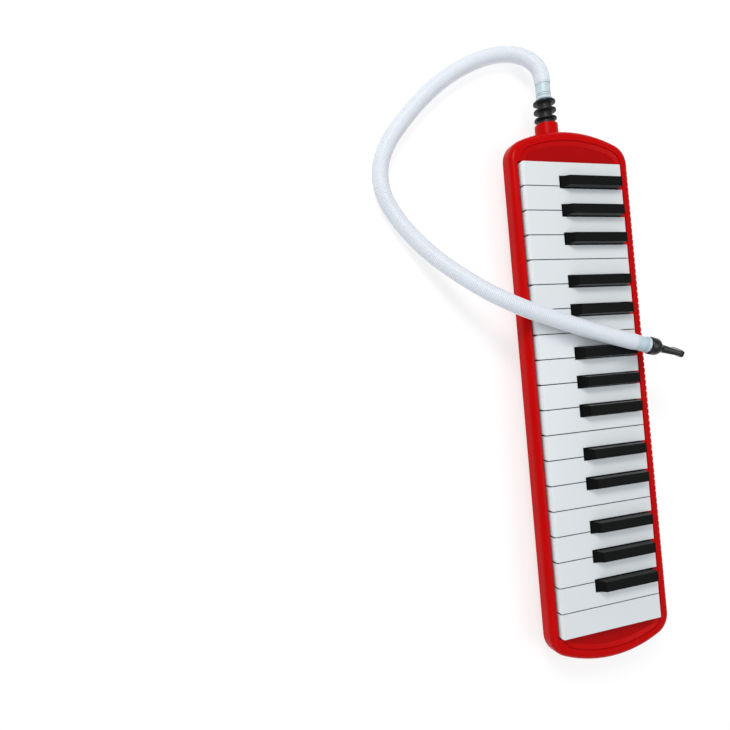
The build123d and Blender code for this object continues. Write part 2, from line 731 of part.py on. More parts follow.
def white_key(index):
    """One white key: top plate, rounded lip, skirts and lever."""
    left, right = gap_x(index) + key_gap / 2, gap_x(index + 1) - key_gap / 2
    width = right - left
    middle = (left + right) / 2
    rear_left, rear_right = white_sides(index)
    lane = (rear_left + rear_right) / 2
    notch_y = black_front_y - black_front_gap
    plate_z0 = white_top_z - white_plate
    with BuildPart() as key:
        with BuildSketch(Plane.XY.offset(white_skirt_z)) as front_plan:
            with Locations((middle, (white_front_y + notch_y) / 2)):
                Rectangle(width, notch_y - white_front_y)
            fillet(front_plan.vertices().group_by(Axis.Y)[0], white_corner)
        extrude(amount=white_top_z - white_skirt_z)
        # the lip is cut across the whole key, so that the sides keep a straight top edge
        lip_side = white_lip + cut_over
        lip_middle = (white_lip - cut_over) / 2
        with BuildSketch(Plane.YZ.offset(left - cut_over)):
            with Locations((white_front_y + lip_middle, white_top_z - lip_middle)):
                Rectangle(lip_side, lip_side)
            with Locations((white_front_y + white_lip, white_top_z - white_lip)):
                Circle(white_lip, mode=Mode.SUBTRACT)
        extrude(amount=width + 2 * cut_over, mode=Mode.SUBTRACT)
        with BuildSketch(Plane.XY.offset(plate_z0)):
            with Locations(((rear_left + rear_right) / 2, (notch_y + key_rear_y) / 2)):
                Rectangle(rear_right - rear_left, key_rear_y - notch_y)
        extrude(amount=white_plate)
        # hollow under the front of the key
        with BuildSketch(Plane.XY.offset(white_skirt_z)):
            with Locations((middle, (white_front_y + notch_y) / 2)):
                Rectangle(width - 2 * skirt_wall, notch_y - white_front_y - 2 * skirt_front)
        extrude(amount=plate_z0 - white_skirt_z - white_lip / 2, mode=Mode.SUBTRACT)
        add(lever(lane, plate_z0))
        add(pivot_bore(lane), mode=Mode.SUBTRACT)
    return key.part, lane


def black_key(gap):
    """One black key: tapered head with a sloping nose, hollow front and lever."""
    lane = gap_x(gap) + black_gaps[gap]
    length = black_rear_y - black_front_y
    taper = math.degrees(math.atan((black_base_width - black_top_width) / 2 / black_rise))
    nose_z = white_top_z - black_nose_root
    with BuildPart() as key:
        with BuildSketch(Plane.XY.offset(black_under_z)):
            with Locations((lane, black_front_y + length / 2)):
                Rectangle(black_base_width, length)
        extrude(amount=white_top_z - black_under_z)
        with BuildSketch(Plane.XY.offset(white_top_z)):
            with Locations((lane, black_front_y + length / 2)):
                Rectangle(black_base_width, length)
        extrude(amount=black_rise, taper=taper)
        # sloping nose
        with BuildSketch(Plane.YZ.offset(lane - black_base_width)):
            with BuildLine():
                Polyline((black_front_y - cut_over, nose_z), (black_front_y, nose_z),
                         (black_front_y + black_nose, black_top_z),
                         (black_front_y + black_nose, black_top_z + cut_over),
                         (black_front_y - cut_over, black_top_z + cut_over), close=True)
            make_face()
        extrude(amount=2 * black_base_width, mode=Mode.SUBTRACT)
        with BuildSketch(Plane.XY.offset(black_under_z)):
            with Locations((lane, (black_front_y + pivot_y) / 2 - black_nose / 2)):
                Rectangle(black_base_width - 2 * black_wall, black_hollow)
        extrude(amount=black_top_z - black_roof - black_under_z, mode=Mode.SUBTRACT)
        add(lever(lane, black_under_z))
        add(pivot_bore(lane), mode=Mode.SUBTRACT)
    return key.part, lane


for index in range(white_count):
    solid, lane = white_key(index)
    save_key(solid, lane, f"white_key_{index + 1:02d}")
for order, gap in enumerate(sorted(black_gaps)):
    solid, lane = black_key(gap)
    save_key(solid, lane, f"black_key_{order + 1:02d}")

# ---------------------------------------------------------------- drain valve and hand strap
with BuildPart() as drain_button:
    with BuildSketch(Plane.XY.offset(drain_recess)):
        with Locations((drain_x, drain_y)):
            Circle(drain_cap / 2)
    extrude(amount=drain_cap_height)
    with BuildSketch(Plane.XY.offset(drain_recess)):
        with Locations((drain_x, drain_y)):
            Circle(drain_stem / 2)
    extrude(amount=chamber_floor_z + drain_seal_thickness - drain_recess)
save(drain_button.part, "drain_button")

with BuildPart() as drain_seal:
    with BuildSketch(Plane.XY.offset(chamber_floor_z + rod_seat_clearance)):
        with Locations((drain_x, drain_y)):
            Circle(drain_seal_diameter / 2)
            Circle(drain_stem / 2 + rod_seat_clearance, mode=Mode.SUBTRACT)
    extrude(amount=drain_seal_thickness - rod_seat_clearance)
save(drain_seal.part, "drain_seal")

drain_spring_z = drain_recess + drain_cap_height
drain_spring_height = chamber_z - drain_spring_z - spring_wire
with BuildPart() as drain_spring:
    with BuildLine(Plane.XY.offset(drain_spring_z + spring_wire / 2)) as coil:
        Helix(drain_spring_height / drain_spring_turns, drain_spring_height,
              (drain_spring_diameter - spring_wire) / 2, center=(drain_x, drain_y, 0))
    with BuildSketch(Plane(coil.line @ 0, z_dir=coil.line % 0)):
        Circle(spring_wire / 2)
    sweep(path=coil.line)
save(drain_spring.part, "drain_spring")

with BuildPart() as hand_strap:
    with BuildSketch(Plane.XY.offset(strap_recess - strap_thickness)):
        with Locations((0, strap_y)):
            RectangleRounded(strap_length, strap_width, strap_corner)
        with Locations((-stud_x, strap_y), (stud_x, strap_y)):
            Circle(stud_stem / 2 + stud_clearance, mode=Mode.SUBTRACT)
    extrude(amount=strap_thickness)
save(hand_strap.part, "hand_strap")

stud_z = strap_recess - strap_thickness
with BuildPart() as strap_studs:
    with BuildSketch(Plane.XY.offset(stud_z)):
        with Locations((-stud_x, strap_y), (stud_x, strap_y)):
            Circle(stud_head / 2)
    extrude(amount=-stud_head_height)
    with BuildSketch(Plane.XY.offset(stud_z)):
        with Locations((-stud_x, strap_y), (stud_x, strap_y)):
            Circle(stud_stem / 2)
    extrude(amount=strap_pad - stud_z)
    with BuildSketch(Plane.XY.offset(strap_pad)):
        with Locations((-stud_x, strap_y), (stud_x, strap_y)):
            Circle(stud_foot / 2)
    extrude(amount=stud_head_height)
save(strap_studs.part, "strap_studs")

# ---------------------------------------------------------------- blow neck and adapter
neck_line = Axis((0, neck_y, neck_z), (1, 0, 0))
neck_plane = Plane(origin=(0, neck_y, neck_z), x_dir=(1, 0, 0), z_dir=(0, -1, 0))

with BuildPart() as blow_neck:
    with BuildSketch(neck_plane):
        with BuildLine():
            Polyline((neck_tip_x, neck_bore / 2), (neck_tip_x, neck_diameter / 2),
                     (neck_body_end_x, neck_diameter / 2), (neck_body_end_x, spigot_diameter / 2),
                     (neck_body_end_x + spigot_length, spigot_diameter / 2),
                     (neck_body_end_x + spigot_length, neck_air_bore / 2),
                     (neck_tip_x + neck_socket_depth, neck_air_bore / 2),
                     (neck_tip_x + neck_socket_depth, neck_bore / 2), close=True)
        make_face()
    revolve(axis=neck_line)
    fillet(blow_neck.edges().filter_by(GeomType.CIRCLE).group_by(Axis.X)[0], neck_edge)
save(blow_neck.part, "blow_neck")

plug_radius = neck_bore / 2 - plug_clearance
first_disc_x = neck_tip_x - disc_offset
nipple_x = first_disc_x - (disc_count - 1) * disc_pitch - disc_root / 2 - disc_edge / 2
disc_profile = []
for disc in range(disc_count):
    x = first_disc_x - disc * disc_pitch
    disc_profile += [(x + disc_root / 2, adapter_core / 2), (x + disc_edge / 2, disc_diameter / 2),
                     (x - disc_edge / 2, disc_diameter / 2), (x - disc_root / 2, adapter_core / 2)]
with BuildPart() as hose_adapter:
    with BuildSketch(neck_plane):
        with BuildLine():
            Polyline((neck_tip_x + plug_depth, air_bore / 2),
                     (neck_tip_x + plug_depth, plug_radius - plug_chamfer),
                     (neck_tip_x + plug_depth - plug_lead, plug_radius),
                     (neck_tip_x - neck_face_gap, plug_radius),
                     (neck_tip_x - neck_face_gap, adapter_collar / 2),
                     (neck_tip_x - disc_offset / 2, adapter_collar / 2),
                     *disc_profile,
                     (nipple_x, adapter_core / 2), (nipple_x, nipple_diameter / 2),
                     (nipple_x - nipple_length, nipple_diameter / 2),
                     (nipple_x - nipple_length, air_bore / 2), close=True)
        make_face()
    revolve(axis=neck_line)
save(hose_adapter.part, "hose_adapter")

# ---------------------------------------------------------------- hose
def bend_radii(points):
    """Radius of each bend: its share of the shorter run over the tangent of half the turn."""
    radii = []
    for a, b, c in zip(points, points[1:], points[2:]):
        first, second = Vector(*b) - Vector(*a), Vector(*c) - Vector(*b)
        turn = math.radians(first.get_angle(second))
        radii.append(bend_share * min(first.length, second.length) / math.tan(turn / 2))
    return radii


radii = bend_radii(hose_points)
print("hose bend radii", [round(r, 1) for r in radii])
with BuildLine() as hose_line:
    FilletPolyline(*hose_points, radius=radii)
hose_start = Plane(hose_points[0], z_dir=hose_line.line % 0)
with BuildPart() as hose:
    with BuildSketch(hose_start):
        Circle(hose_diameter / 2)
        Circle(hose_diameter / 2 - hose_wall, mode=Mode.SUBTRACT)
    sweep(path=hose_line.line)
section = math.pi * ((hose_diameter / 2) ** 2 - (hose_diameter / 2 - hose_wall) ** 2)
run_length = sum(edge.length for edge in hose_line.edges())
print("hose length", round(run_length, 1), "volume over section",
      round(hose.part.volume / section, 1))
save(hose.part, "hose")

with BuildPart() as hose_cuff_near:
    with BuildSketch(neck_plane):
        with Locations(((nipple_x + hose_start_x) / 2, (cuff_diameter + cuff_bore) / 4)):
            Rectangle(nipple_x - hose_start_x, (cuff_diameter - cuff_bore) / 2)
    revolve(axis=neck_line)
save(hose_cuff_near.part, "hose_cuff_near")

# ---------------------------------------------------------------- far cuff and mouthpiece
end_point = Vector(*hose_points[-1])
end_way = (end_point - Vector(*hose_points[-2])).normalized()
end_side = end_way.cross(Vector(0, 0, 1)).normalized().rotate(Axis((0, 0, 0), end_way), beak_tilt)


def end_plane(distance):
    """Plane across the hose's far end, a distance beyond it; its x runs across the beak."""
    return Plane(origin=end_point + end_way * distance, x_dir=end_side, z_dir=end_way)


with BuildPart() as hose_cuff_far:
    with BuildSketch(end_plane(0)):
        Circle(cuff_diameter / 2)
        Circle(cuff_bore / 2, mode=Mode.SUBTRACT)
    extrude(amount=cuff_length)
save(hose_cuff_far.part, "hose_cuff_far")

beak_start = cuff_length + collar_length
with BuildPart() as hose_mouthpiece:
    with BuildSketch(end_plane(cuff_length)):
        Circle(collar_diameter / 2)
    extrude(amount=collar_length)
    fillet(hose_mouthpiece.edges().filter_by(GeomType.CIRCLE), collar_edge)
    with BuildSketch(end_plane(cuff_length - nipple_length)):
        Circle(nipple_diameter / 2)
    extrude(amount=nipple_length + collar_edge)
    with BuildSketch(end_plane(beak_start - collar_edge)):
        RectangleRounded(beak_root_thickness, beak_root_width, beak_corner)
    with BuildSketch(end_plane(beak_start + beak_length)):
        RectangleRounded(beak_tip_thickness, beak_width, beak_corner)
    loft()
    with BuildSketch(end_plane(beak_start + beak_length - beak_lip)):
        RectangleRounded(beak_tip_thickness + beak_lip, beak_width + beak_lip, beak_corner + beak_lip / 2)
    extrude(amount=beak_lip)
    with BuildSketch(end_plane(cuff_length - nipple_length)):
        Circle(air_bore / 2)
    extrude(amount=nipple_length + collar_length - collar_edge, mode=Mode.SUBTRACT)
    with BuildSketch(end_plane(beak_start - 2 * collar_edge)):
        RectangleRounded(beak_slot_thickness, beak_slot_width, beak_slot_corner)
    extrude(amount=beak_length + 2 * collar_edge, mode=Mode.SUBTRACT)
save(hose_mouthpiece.part, "hose_mouthpiece")
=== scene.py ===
import enum
import logging
import math
from collections.abc import Callable, Mapping, Sequence
from dataclasses import dataclass, field

import bpy
from mathutils import Matrix, Vector, noise


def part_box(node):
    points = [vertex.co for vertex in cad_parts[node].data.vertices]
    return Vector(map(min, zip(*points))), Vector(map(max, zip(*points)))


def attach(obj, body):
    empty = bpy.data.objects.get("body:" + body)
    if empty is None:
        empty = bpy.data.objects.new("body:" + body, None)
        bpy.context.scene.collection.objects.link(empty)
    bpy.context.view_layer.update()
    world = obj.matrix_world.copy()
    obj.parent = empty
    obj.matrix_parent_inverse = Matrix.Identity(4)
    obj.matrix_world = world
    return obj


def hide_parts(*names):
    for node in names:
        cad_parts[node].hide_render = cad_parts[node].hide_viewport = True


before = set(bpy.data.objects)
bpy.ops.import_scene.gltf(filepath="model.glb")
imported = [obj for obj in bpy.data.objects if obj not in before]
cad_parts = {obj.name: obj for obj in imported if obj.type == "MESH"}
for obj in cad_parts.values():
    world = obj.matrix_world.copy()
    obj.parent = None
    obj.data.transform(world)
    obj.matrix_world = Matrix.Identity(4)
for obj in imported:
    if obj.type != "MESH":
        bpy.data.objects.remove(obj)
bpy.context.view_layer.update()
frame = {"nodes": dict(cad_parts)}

MM = 0.001
RGB = tuple[float, float, float]
Point = tuple[float, float, float]
Socket = bpy.types.NodeSocket
log = logging.getLogger("melodica")


# ---------------------------------------------------------------- shader graphs
class Graph:
    """Adds the nodes of one shader tree and joins them."""

    def __init__(self, tree: bpy.types.NodeTree) -> None:
        """Starts on a tree that may already hold nodes."""
        self.tree = tree

    def add(self, kind: str, inputs: Mapping[str | int, object] | None = None,
            **settings: object) -> bpy.types.Node:
        """Adds a node.

        Args:
            kind: the node's type, without "ShaderNode" where that begins it.
            inputs: what each input gets, a socket to join or a plain value.
            **settings: the node's own properties.

        Returns:
            The new node.
        """
        prefix = "" if kind.startswith("Node") else "ShaderNode"
        node = self.tree.nodes.new(prefix + kind)
        for name, value in settings.items():
            setattr(node, name, value)
        for name, value in (inputs or {}).items():
            socket = node.inputs[name]
            if isinstance(value, Socket):
                self.tree.links.new(value, socket)
            else:
                socket.default_value = value
        return node

    def math(self, operation: str, first: object, second: object = 0.0) -> Socket:
        """Works out one value from two."""
        return self.add("Math", {0: first, 1: second}, operation=operation).outputs[0]

    def blend(self, share: object, first: object, second: object) -> Socket:
        """Mixes two colours, where a share of 1 gives the second."""
        colours = [opaque(c) if isinstance(c, tuple) else c for c in (first, second)]
        mix = self.add("Mix", {0: share, 6: colours[0], 7: colours[1]}, data_type="RGBA")
        return mix.outputs[2]

    def remap(self, value: object, low: float, high: float, out_low: float = 0.0,
              out_high: float = 1.0) -> Socket:
        """Stretches a value's range to another one and holds it there."""
        node = self.add("MapRange", {0: value, 1: low, 2: high, 3: out_low, 4: out_high})
        return node.outputs[0]

    def noise(self, place: Socket, size: float, detail: float = 2.0, rough: float = 0.5) -> Socket:
        """Gives a soft random value whose patches are about one size across, in metres."""
        node = self.add("TexNoise", {"Vector": place, "Scale": 1 / size, "Detail": detail,
                                     "Roughness": rough})
        return node.outputs[0]

    def stretched(self, place: Socket, scale: Point) -> Socket:
        """Scales a place along its three axes."""
        return self.add("VectorMath", {0: place, 1: scale}, operation="MULTIPLY").outputs[0]

    def place(self) -> Socket:
        """Gives the place on the piece, which moves and turns with it."""
        return self.add("TexCoord").outputs["Object"]

    def product(self, first: object, second: object) -> Socket:
        """Multiplies two values."""
        return self.math("MULTIPLY", first, second)

    def patches(self, size: Socket, place: Socket, **inputs: float) -> Socket:
        """Gives a soft random value whose patches are as big as a size socket says."""
        scale = self.math("DIVIDE", 1.0, size)
        return self.add("TexNoise", {"Vector": place, "Scale": scale, **inputs}).outputs[0]

    def join(self, surface: bpy.types.Node, colour: Socket, rough: Socket,
             normal: Socket | None = None) -> None:
        """Joins a colour, a roughness and perhaps a normal to a Principled shader."""
        for name, value in (("Base Color", colour), ("Roughness", rough), ("Normal", normal)):
            if value is not None:
                self.tree.links.new(value, surface.inputs[name])


def opaque(colour: RGB) -> tuple[float, float, float, float]:
    """Adds full opacity to a colour."""
    return (*colour, 1.0)


class Effect(enum.Enum):
    """A surface effect that several finishes share."""

    EASED_EDGE = "eased_edge"
    MOULD_GRAIN = "mould_grain"
    SMUDGES = "smudges"
    HAIRLINES = "hairlines"
    DUST = "dust"
    WEAVE = "weave"
    NARROW_GAPS = "narrow_gaps"


class Effects:
    """Builds each shared effect once, as a shader node group, and places it in materials."""

    def __init__(self) -> None:
        """Starts with no group built."""
        self._made: dict[Effect, bpy.types.NodeTree] = {}
        self._makers: dict[Effect, Callable[[], bpy.types.NodeTree]] = dict(zip(Effect, (
            self._eased_edge, self._mould_grain, self._smudges, self._hairlines, self._dust,
            self._weave, self._narrow_gaps)))

    def place(self, graph: Graph, effect: Effect, inputs: Mapping[str, object]) -> bpy.types.Node:
        """Places an effect in a material.

        Args:
            graph: the material's graph.
            effect: the effect to place.
            inputs: values for the effect's named inputs.

        Returns:
            The group node, whose outputs carry the effect.
        """
        if effect not in self._made:
            self._made[effect] = self._makers[effect]()
        return graph.add("Group", inputs, node_tree=self._made[effect])

    @staticmethod
    def _open(name: str, inputs: Mapping[str, float], outputs: Mapping[str, str]
              ) -> tuple[Graph, bpy.types.Node, bpy.types.Node]:
        """Starts a group.

        Args:
            name: the group's name.
            inputs: each number input and its usual value.
            outputs: each output and its kind of socket.

        Returns:
            The group's graph, its input node and its output node.
        """
        tree = bpy.data.node_groups.new(name, "ShaderNodeTree")
        for title, usual in inputs.items():
            socket = tree.interface.new_socket(title, in_out="INPUT", socket_type="NodeSocketFloat")
            socket.default_value = usual
        for title, kind in outputs.items():
            tree.interface.new_socket(title, in_out="OUTPUT", socket_type="NodeSocket" + kind)
        graph = Graph(tree)
        return graph, graph.add("NodeGroupInput"), graph.add("NodeGroupOutput")

    def _eased_edge(self) -> bpy.types.NodeTree:
        """Rounded edges as a normal, and a mask of where hands have rubbed them."""
        graph, given, out = self._open(
            Effect.EASED_EDGE.value, {"Radius": 0.0004, "Patch": 0.006},
            {"Normal": "Vector", "Wear": "Float"})
        eased = graph.add("Bevel", {"Radius": given.outputs["Radius"]}, samples=4).outputs[0]
        plain = graph.add("NewGeometry").outputs["Normal"]
        dot = graph.add("VectorMath", {0: eased, 1: plain}, operation="DOT_PRODUCT").outputs["Value"]
        edge = graph.remap(dot, 0.98, 0.80)
        patch = graph.patches(given.outputs["Patch"], graph.place(), Detail=3.0)
        rubbed = graph.remap(patch, 0.45, 0.70)
        graph.tree.links.new(eased, out.inputs["Normal"])
        graph.tree.links.new(graph.product(edge, rubbed), out.inputs["Wear"])
        return graph.tree

    def _narrow_gaps(self) -> bpy.types.NodeTree:
        """A mask of places that another wall stands close to, for painted shade where light doesn't
        reach.
        """
        graph, given, out = self._open(Effect.NARROW_GAPS.value, {"Reach": 0.003, "Open": 0.45},
                                       {"Mask": "Float"})
        seen = graph.add("AmbientOcclusion", {"Distance": given.outputs["Reach"]}, samples=6)
        share = graph.math("DIVIDE", seen.outputs["AO"], given.outputs["Open"])
        shut = graph.add("Math", {0: 1.0, 1: share}, operation="SUBTRACT", use_clamp=True).outputs[0]
        graph.tree.links.new(shut, out.inputs["Mask"])
        return graph.tree

    def _mould_grain(self) -> bpy.types.NodeTree:
        """The fine skin of a moulding, with the slow ripple of a wall that shrank as it cooled."""
        graph, given, out = self._open(
            Effect.MOULD_GRAIN.value, {"Size": 0.0003, "Ripple": 0.03, "Ripple share": 0.5},
            {"Height": "Float"})
        place = graph.place()
        fine = graph.patches(given.outputs["Size"], place, Detail=3.0)
        slow = graph.patches(given.outputs["Ripple"], place, Detail=1.0)
        ripple = graph.product(slow, given.outputs["Ripple share"])
        graph.tree.links.new(graph.math("ADD", fine, ripple), out.inputs["Height"])
        return graph.tree

    def _smudges(self) -> bpy.types.NodeTree:
        """Patches where fingers have dulled a gloss, from 0 to 1."""
        graph, given, out = self._open(
            Effect.SMUDGES.value, {"Size": 0.02, "Cover": 0.5}, {"Value": "Float"})
        broad = graph.patches(given.outputs["Size"], graph.place(), Detail=4.0, Distortion=0.6)
        edge = graph.math("SUBTRACT", 0.75, given.outputs["Cover"])
        raised = graph.math("SUBTRACT", broad, edge)
        graph.tree.links.new(graph.remap(raised, 0.0, 0.35), out.inputs["Value"])
        return graph.tree

    def _hairlines(self) -> bpy.types.NodeTree:
        """Fine scratches that run two ways, as a mask."""
        graph, given, out = self._open(
            Effect.HAIRLINES.value, {"Spacing": 0.004, "Cover": 0.5}, {"Mask": "Float"})
        place = graph.place()
        lines = []
        for turn in (0.5, -0.9):
            turned = graph.add("VectorRotate", {"Vector": place, "Angle": turn},
                               rotation_type="Z_AXIS").outputs[0]
            long = graph.stretched(turned, (0.06, 1.0, 1.0))
            cells = graph.patches(given.outputs["Spacing"], long, Detail=2.0)
            near = graph.math("ABSOLUTE", graph.math("SUBTRACT", cells, 0.5))
            lines.append(graph.remap(near, 0.004, 0.0))
        both = graph.math("MAXIMUM", lines[0], lines[1])
        patches = graph.remap(graph.noise(place, 0.015), 0.52, 0.62)
        shown = graph.product(graph.product(both, patches), given.outputs["Cover"])
        graph.tree.links.new(shown, out.inputs["Mask"])
        return graph.tree

    def _dust(self) -> bpy.types.NodeTree:
        """Light dust on the faces that look up, with a few larger specks."""
        graph, given, out = self._open(
            Effect.DUST.value, {"Film": 0.1, "Specks": 0.5}, {"Mask": "Float"})
        place = graph.place()
        facing = graph.add("SeparateXYZ", {0: graph.add("NewGeometry").outputs["Normal"]})
        upward = graph.remap(facing.outputs[2], 0.2, 0.9)
        film = graph.product(graph.noise(place, 0.012, 5.0), given.outputs["Film"])
        cells = graph.add("TexVoronoi", {"Vector": place, "Scale": 260.0, "Randomness": 1.0})
        speck = graph.remap(cells.outputs["Distance"], 0.055, 0.03)
        kept = graph.math("GREATER_THAN", graph.noise(place, 0.02), 0.55)
        dots = graph.product(graph.product(speck, kept), given.outputs["Specks"])
        graph.tree.links.new(graph.product(graph.math("ADD", film, dots), upward),
                             out.inputs["Mask"])
        return graph.tree

    def _weave(self) -> bpy.types.NodeTree:
        """Flat webbing: yarns along X that pass over and under the picks along Y."""
        graph, given, out = self._open(
            Effect.WEAVE.value, {"Yarn": 0.0009, "Pick": 0.0014},
            {"Height": "Float", "Yarn mask": "Float"})
        axes = graph.add("SeparateXYZ", {0: graph.place()})
        picks = graph.math("DIVIDE", axes.outputs[0], given.outputs["Pick"])
        yarns = graph.math("DIVIDE", axes.outputs[1], given.outputs["Yarn"])
        along = graph.product(picks, 2 * math.pi)
        ridge = graph.math("ABSOLUTE", graph.math("SINE", graph.product(yarns, math.pi)))
        row = graph.product(graph.math("FLOOR", yarns), math.pi)
        over = graph.remap(graph.math("SINE", graph.math("ADD", along, row)), -1.0, 1.0)
        height = graph.product(ridge, graph.math("ADD", graph.product(over, 0.7), 0.3))
        graph.tree.links.new(height, out.inputs["Height"])
        graph.tree.links.new(graph.product(ridge, over), out.inputs["Yarn mask"])
        return graph.tree


# ---------------------------------------------------------------- finishes
DUST = (0.55, 0.54, 0.52)
DARK_DUST = (0.30, 0.29, 0.28)    # dust pressed into rubber
WOOL_DUST = (0.5, 0.48, 0.46)
HOSE_DUST = (0.5, 0.48, 0.45)
BARE_METAL = (0.85, 0.84, 0.82)
FADED_BLACK = (0.06, 0.06, 0.062)
PAINTED_GAP_SHADE = (0.03, 0.03, 0.035)       # painted shade laid into narrow gaps between parts
VALLEY_SHADE = "valley_shade"                 # mesh attribute: 1 at the bottom of a groove, where the finish paints shade
PANEL_DROP = 1.2 * MM             # end panels below the top of the case


def shader_material(name: str, shader: Mapping[str, object]) -> tuple[bpy.types.Material, Graph,
                                                                      bpy.types.Node]:
    """Starts a material.

    Args:
        name: the material's name.
        shader: plain values for the Principled shader's own sockets.

    Returns:
        The material, its graph and its Principled shader.
    """
    material = bpy.data.materials.new(name)
    material.use_nodes = True
    surface = material.node_tree.nodes["Principled BSDF"]
    for socket, value in shader.items():
        surface.inputs[socket].default_value = value
    return material, Graph(material.node_tree), surface


class Zone(enum.Enum):
    """Where a moulding has a second, duller skin."""

    NOWHERE = enum.auto()
    UPWARD_FACES = enum.auto()
    END_PANELS = enum.auto()


@dataclass(frozen=True)
class Moulding:
    """Injection-moulded plastic with eased edges, a fine grain, smudges and hairlines."""

    name: str
    colour: RGB
    shade: RGB
    worn: RGB
    roughness: float = 0.25
    smudge: float = 0.12
    grain: float = 0.0003
    relief: float = 0.00001
    edge: float = 0.0004
    wear: float = 0.5
    scratches: float = 0.4
    film: float = 0.05
    specks: float = 0.5
    coat: float = 0.0
    coat_roughness: float = 0.08
    specular: float = 0.5
    subsurface: float = 0.0
    dull: Zone = Zone.NOWHERE
    dull_roughness: float = 0.45
    dull_colour: RGB = (0.0, 0.0, 0.0)
    # how strongly painted shade darkens narrow gaps between parts
    painted_gap_shade: float = 0.0

    def build(self, effects: Effects) -> bpy.types.Material:
        """Builds the material.

        Args:
            effects: the shared effects to draw on.

        Returns:
            The finished material.
        """
        material, graph, surface = shader_material(self.name, {
            "Coat Weight": self.coat, "Coat Roughness": self.coat_roughness,
            "Specular IOR Level": self.specular, "Subsurface Weight": self.subsurface,
            "Subsurface Radius": (0.004, 0.0045, 0.005), "Subsurface Scale": 1.0})
        place = graph.place()
        edge = effects.place(graph, Effect.EASED_EDGE, {"Radius": self.edge, "Patch": 0.008})
        smudges = effects.place(graph, Effect.SMUDGES, {"Size": 0.018, "Cover": 0.5})
        scratches = effects.place(graph, Effect.HAIRLINES, {"Spacing": 0.004, "Cover": self.scratches})
        dust = effects.place(graph, Effect.DUST, {"Film": self.film, "Specks": self.specks})
        grain = effects.place(graph, Effect.MOULD_GRAIN, {"Size": self.grain})
        colour = graph.blend(graph.remap(graph.noise(place, 0.03, 4.0), 0.35, 0.65),
                             self.colour, self.shade)
        smeared = graph.product(smudges.outputs[0], self.smudge)
        base = graph.math("ADD", smeared, self.roughness)
        dull = self._dull_mask(graph, place)
        if dull is not None:
            colour = graph.blend(dull, colour, self.dull_colour)
            patchy = graph.math("ADD", smeared, self.dull_roughness)
            base = graph.add("Mix", {0: dull, 2: base, 3: patchy}).outputs[0]
        # painted shade: darkens the colour in narrow gaps between parts
        if self.painted_gap_shade:
            gaps = effects.place(graph, Effect.NARROW_GAPS, {})
            colour = graph.blend(graph.product(gaps.outputs[0], self.painted_gap_shade), colour, PAINTED_GAP_SHADE)
        rubbed = graph.product(edge.outputs["Wear"], self.wear)
        colour = graph.blend(rubbed, colour, self.worn)
        colour = graph.blend(scratches.outputs[0], colour, self.worn)
        colour = graph.blend(dust.outputs[0], colour, DUST)
        base = graph.math("ADD", base, graph.product(scratches.outputs[0], 0.2))
        bump = graph.add("Bump", {"Height": grain.outputs[0], "Distance": self.relief,
                                  "Strength": 1.0, "Normal": edge.outputs["Normal"]})
        graph.join(surface, colour, base, bump.outputs[0])
        return material

    def _dull_mask(self, graph: Graph, place: Socket) -> Socket | None:
        """Gives 1 where the second skin lies, or None where there is none."""
        if self.dull is Zone.NOWHERE:
            return None
        normal = graph.add("SeparateXYZ", {0: graph.add("TexCoord").outputs["Normal"]})
        upward = graph.remap(normal.outputs[2], 0.985, 0.995)
        if self.dull is Zone.UPWARD_FACES:
            return upward
        height = graph.add("SeparateXYZ", {0: place}).outputs[2]
        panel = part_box("upper_case")[1][2] - PANEL_DROP
        low = graph.remap(height, panel - 0.0002, panel - 0.0001)
        high = graph.remap(height, panel + 0.0002, panel + 0.0001)
        return graph.product(graph.product(low, high), upward)


@dataclass(frozen=True)
class Rubber:
    """Soft black rubber with a satin skin, a bloom in places and dust in its corners."""

    name: str
    colour: RGB = (0.006, 0.006, 0.0065)
    bloom: RGB = (0.013, 0.013, 0.0135)
    roughness: float = 0.42
    edge: float = 0.0005
    film: float = 0.015

    def build(self, effects: Effects) -> bpy.types.Material:
        """Builds the material from the shared effects."""
        material, graph, surface = shader_material(self.name, {
            "Specular IOR Level": 0.3, "Sheen Weight": 0.04, "Sheen Roughness": 0.5})
        place = graph.place()
        edge = effects.place(graph, Effect.EASED_EDGE, {"Radius": self.edge, "Patch": 0.004})
        grain = effects.place(graph, Effect.MOULD_GRAIN, {"Size": 0.00025, "Ripple": 0.006})
        dust = effects.place(graph, Effect.DUST, {"Film": self.film, "Specks": 0.3})
        bloom = graph.remap(graph.noise(place, 0.007, 5.0), 0.45, 0.75)
        colour = graph.blend(bloom, self.colour, self.bloom)
        colour = graph.blend(dust.outputs[0], colour, DARK_DUST)
        rough = graph.math("ADD", graph.product(bloom, 0.15), self.roughness)
        bump = graph.add("Bump", {"Height": grain.outputs[0], "Distance": 0.00003, "Strength": 0.8,
                                  "Normal": edge.outputs["Normal"]})
        graph.join(surface, colour, rough, bump.outputs[0])
        return material


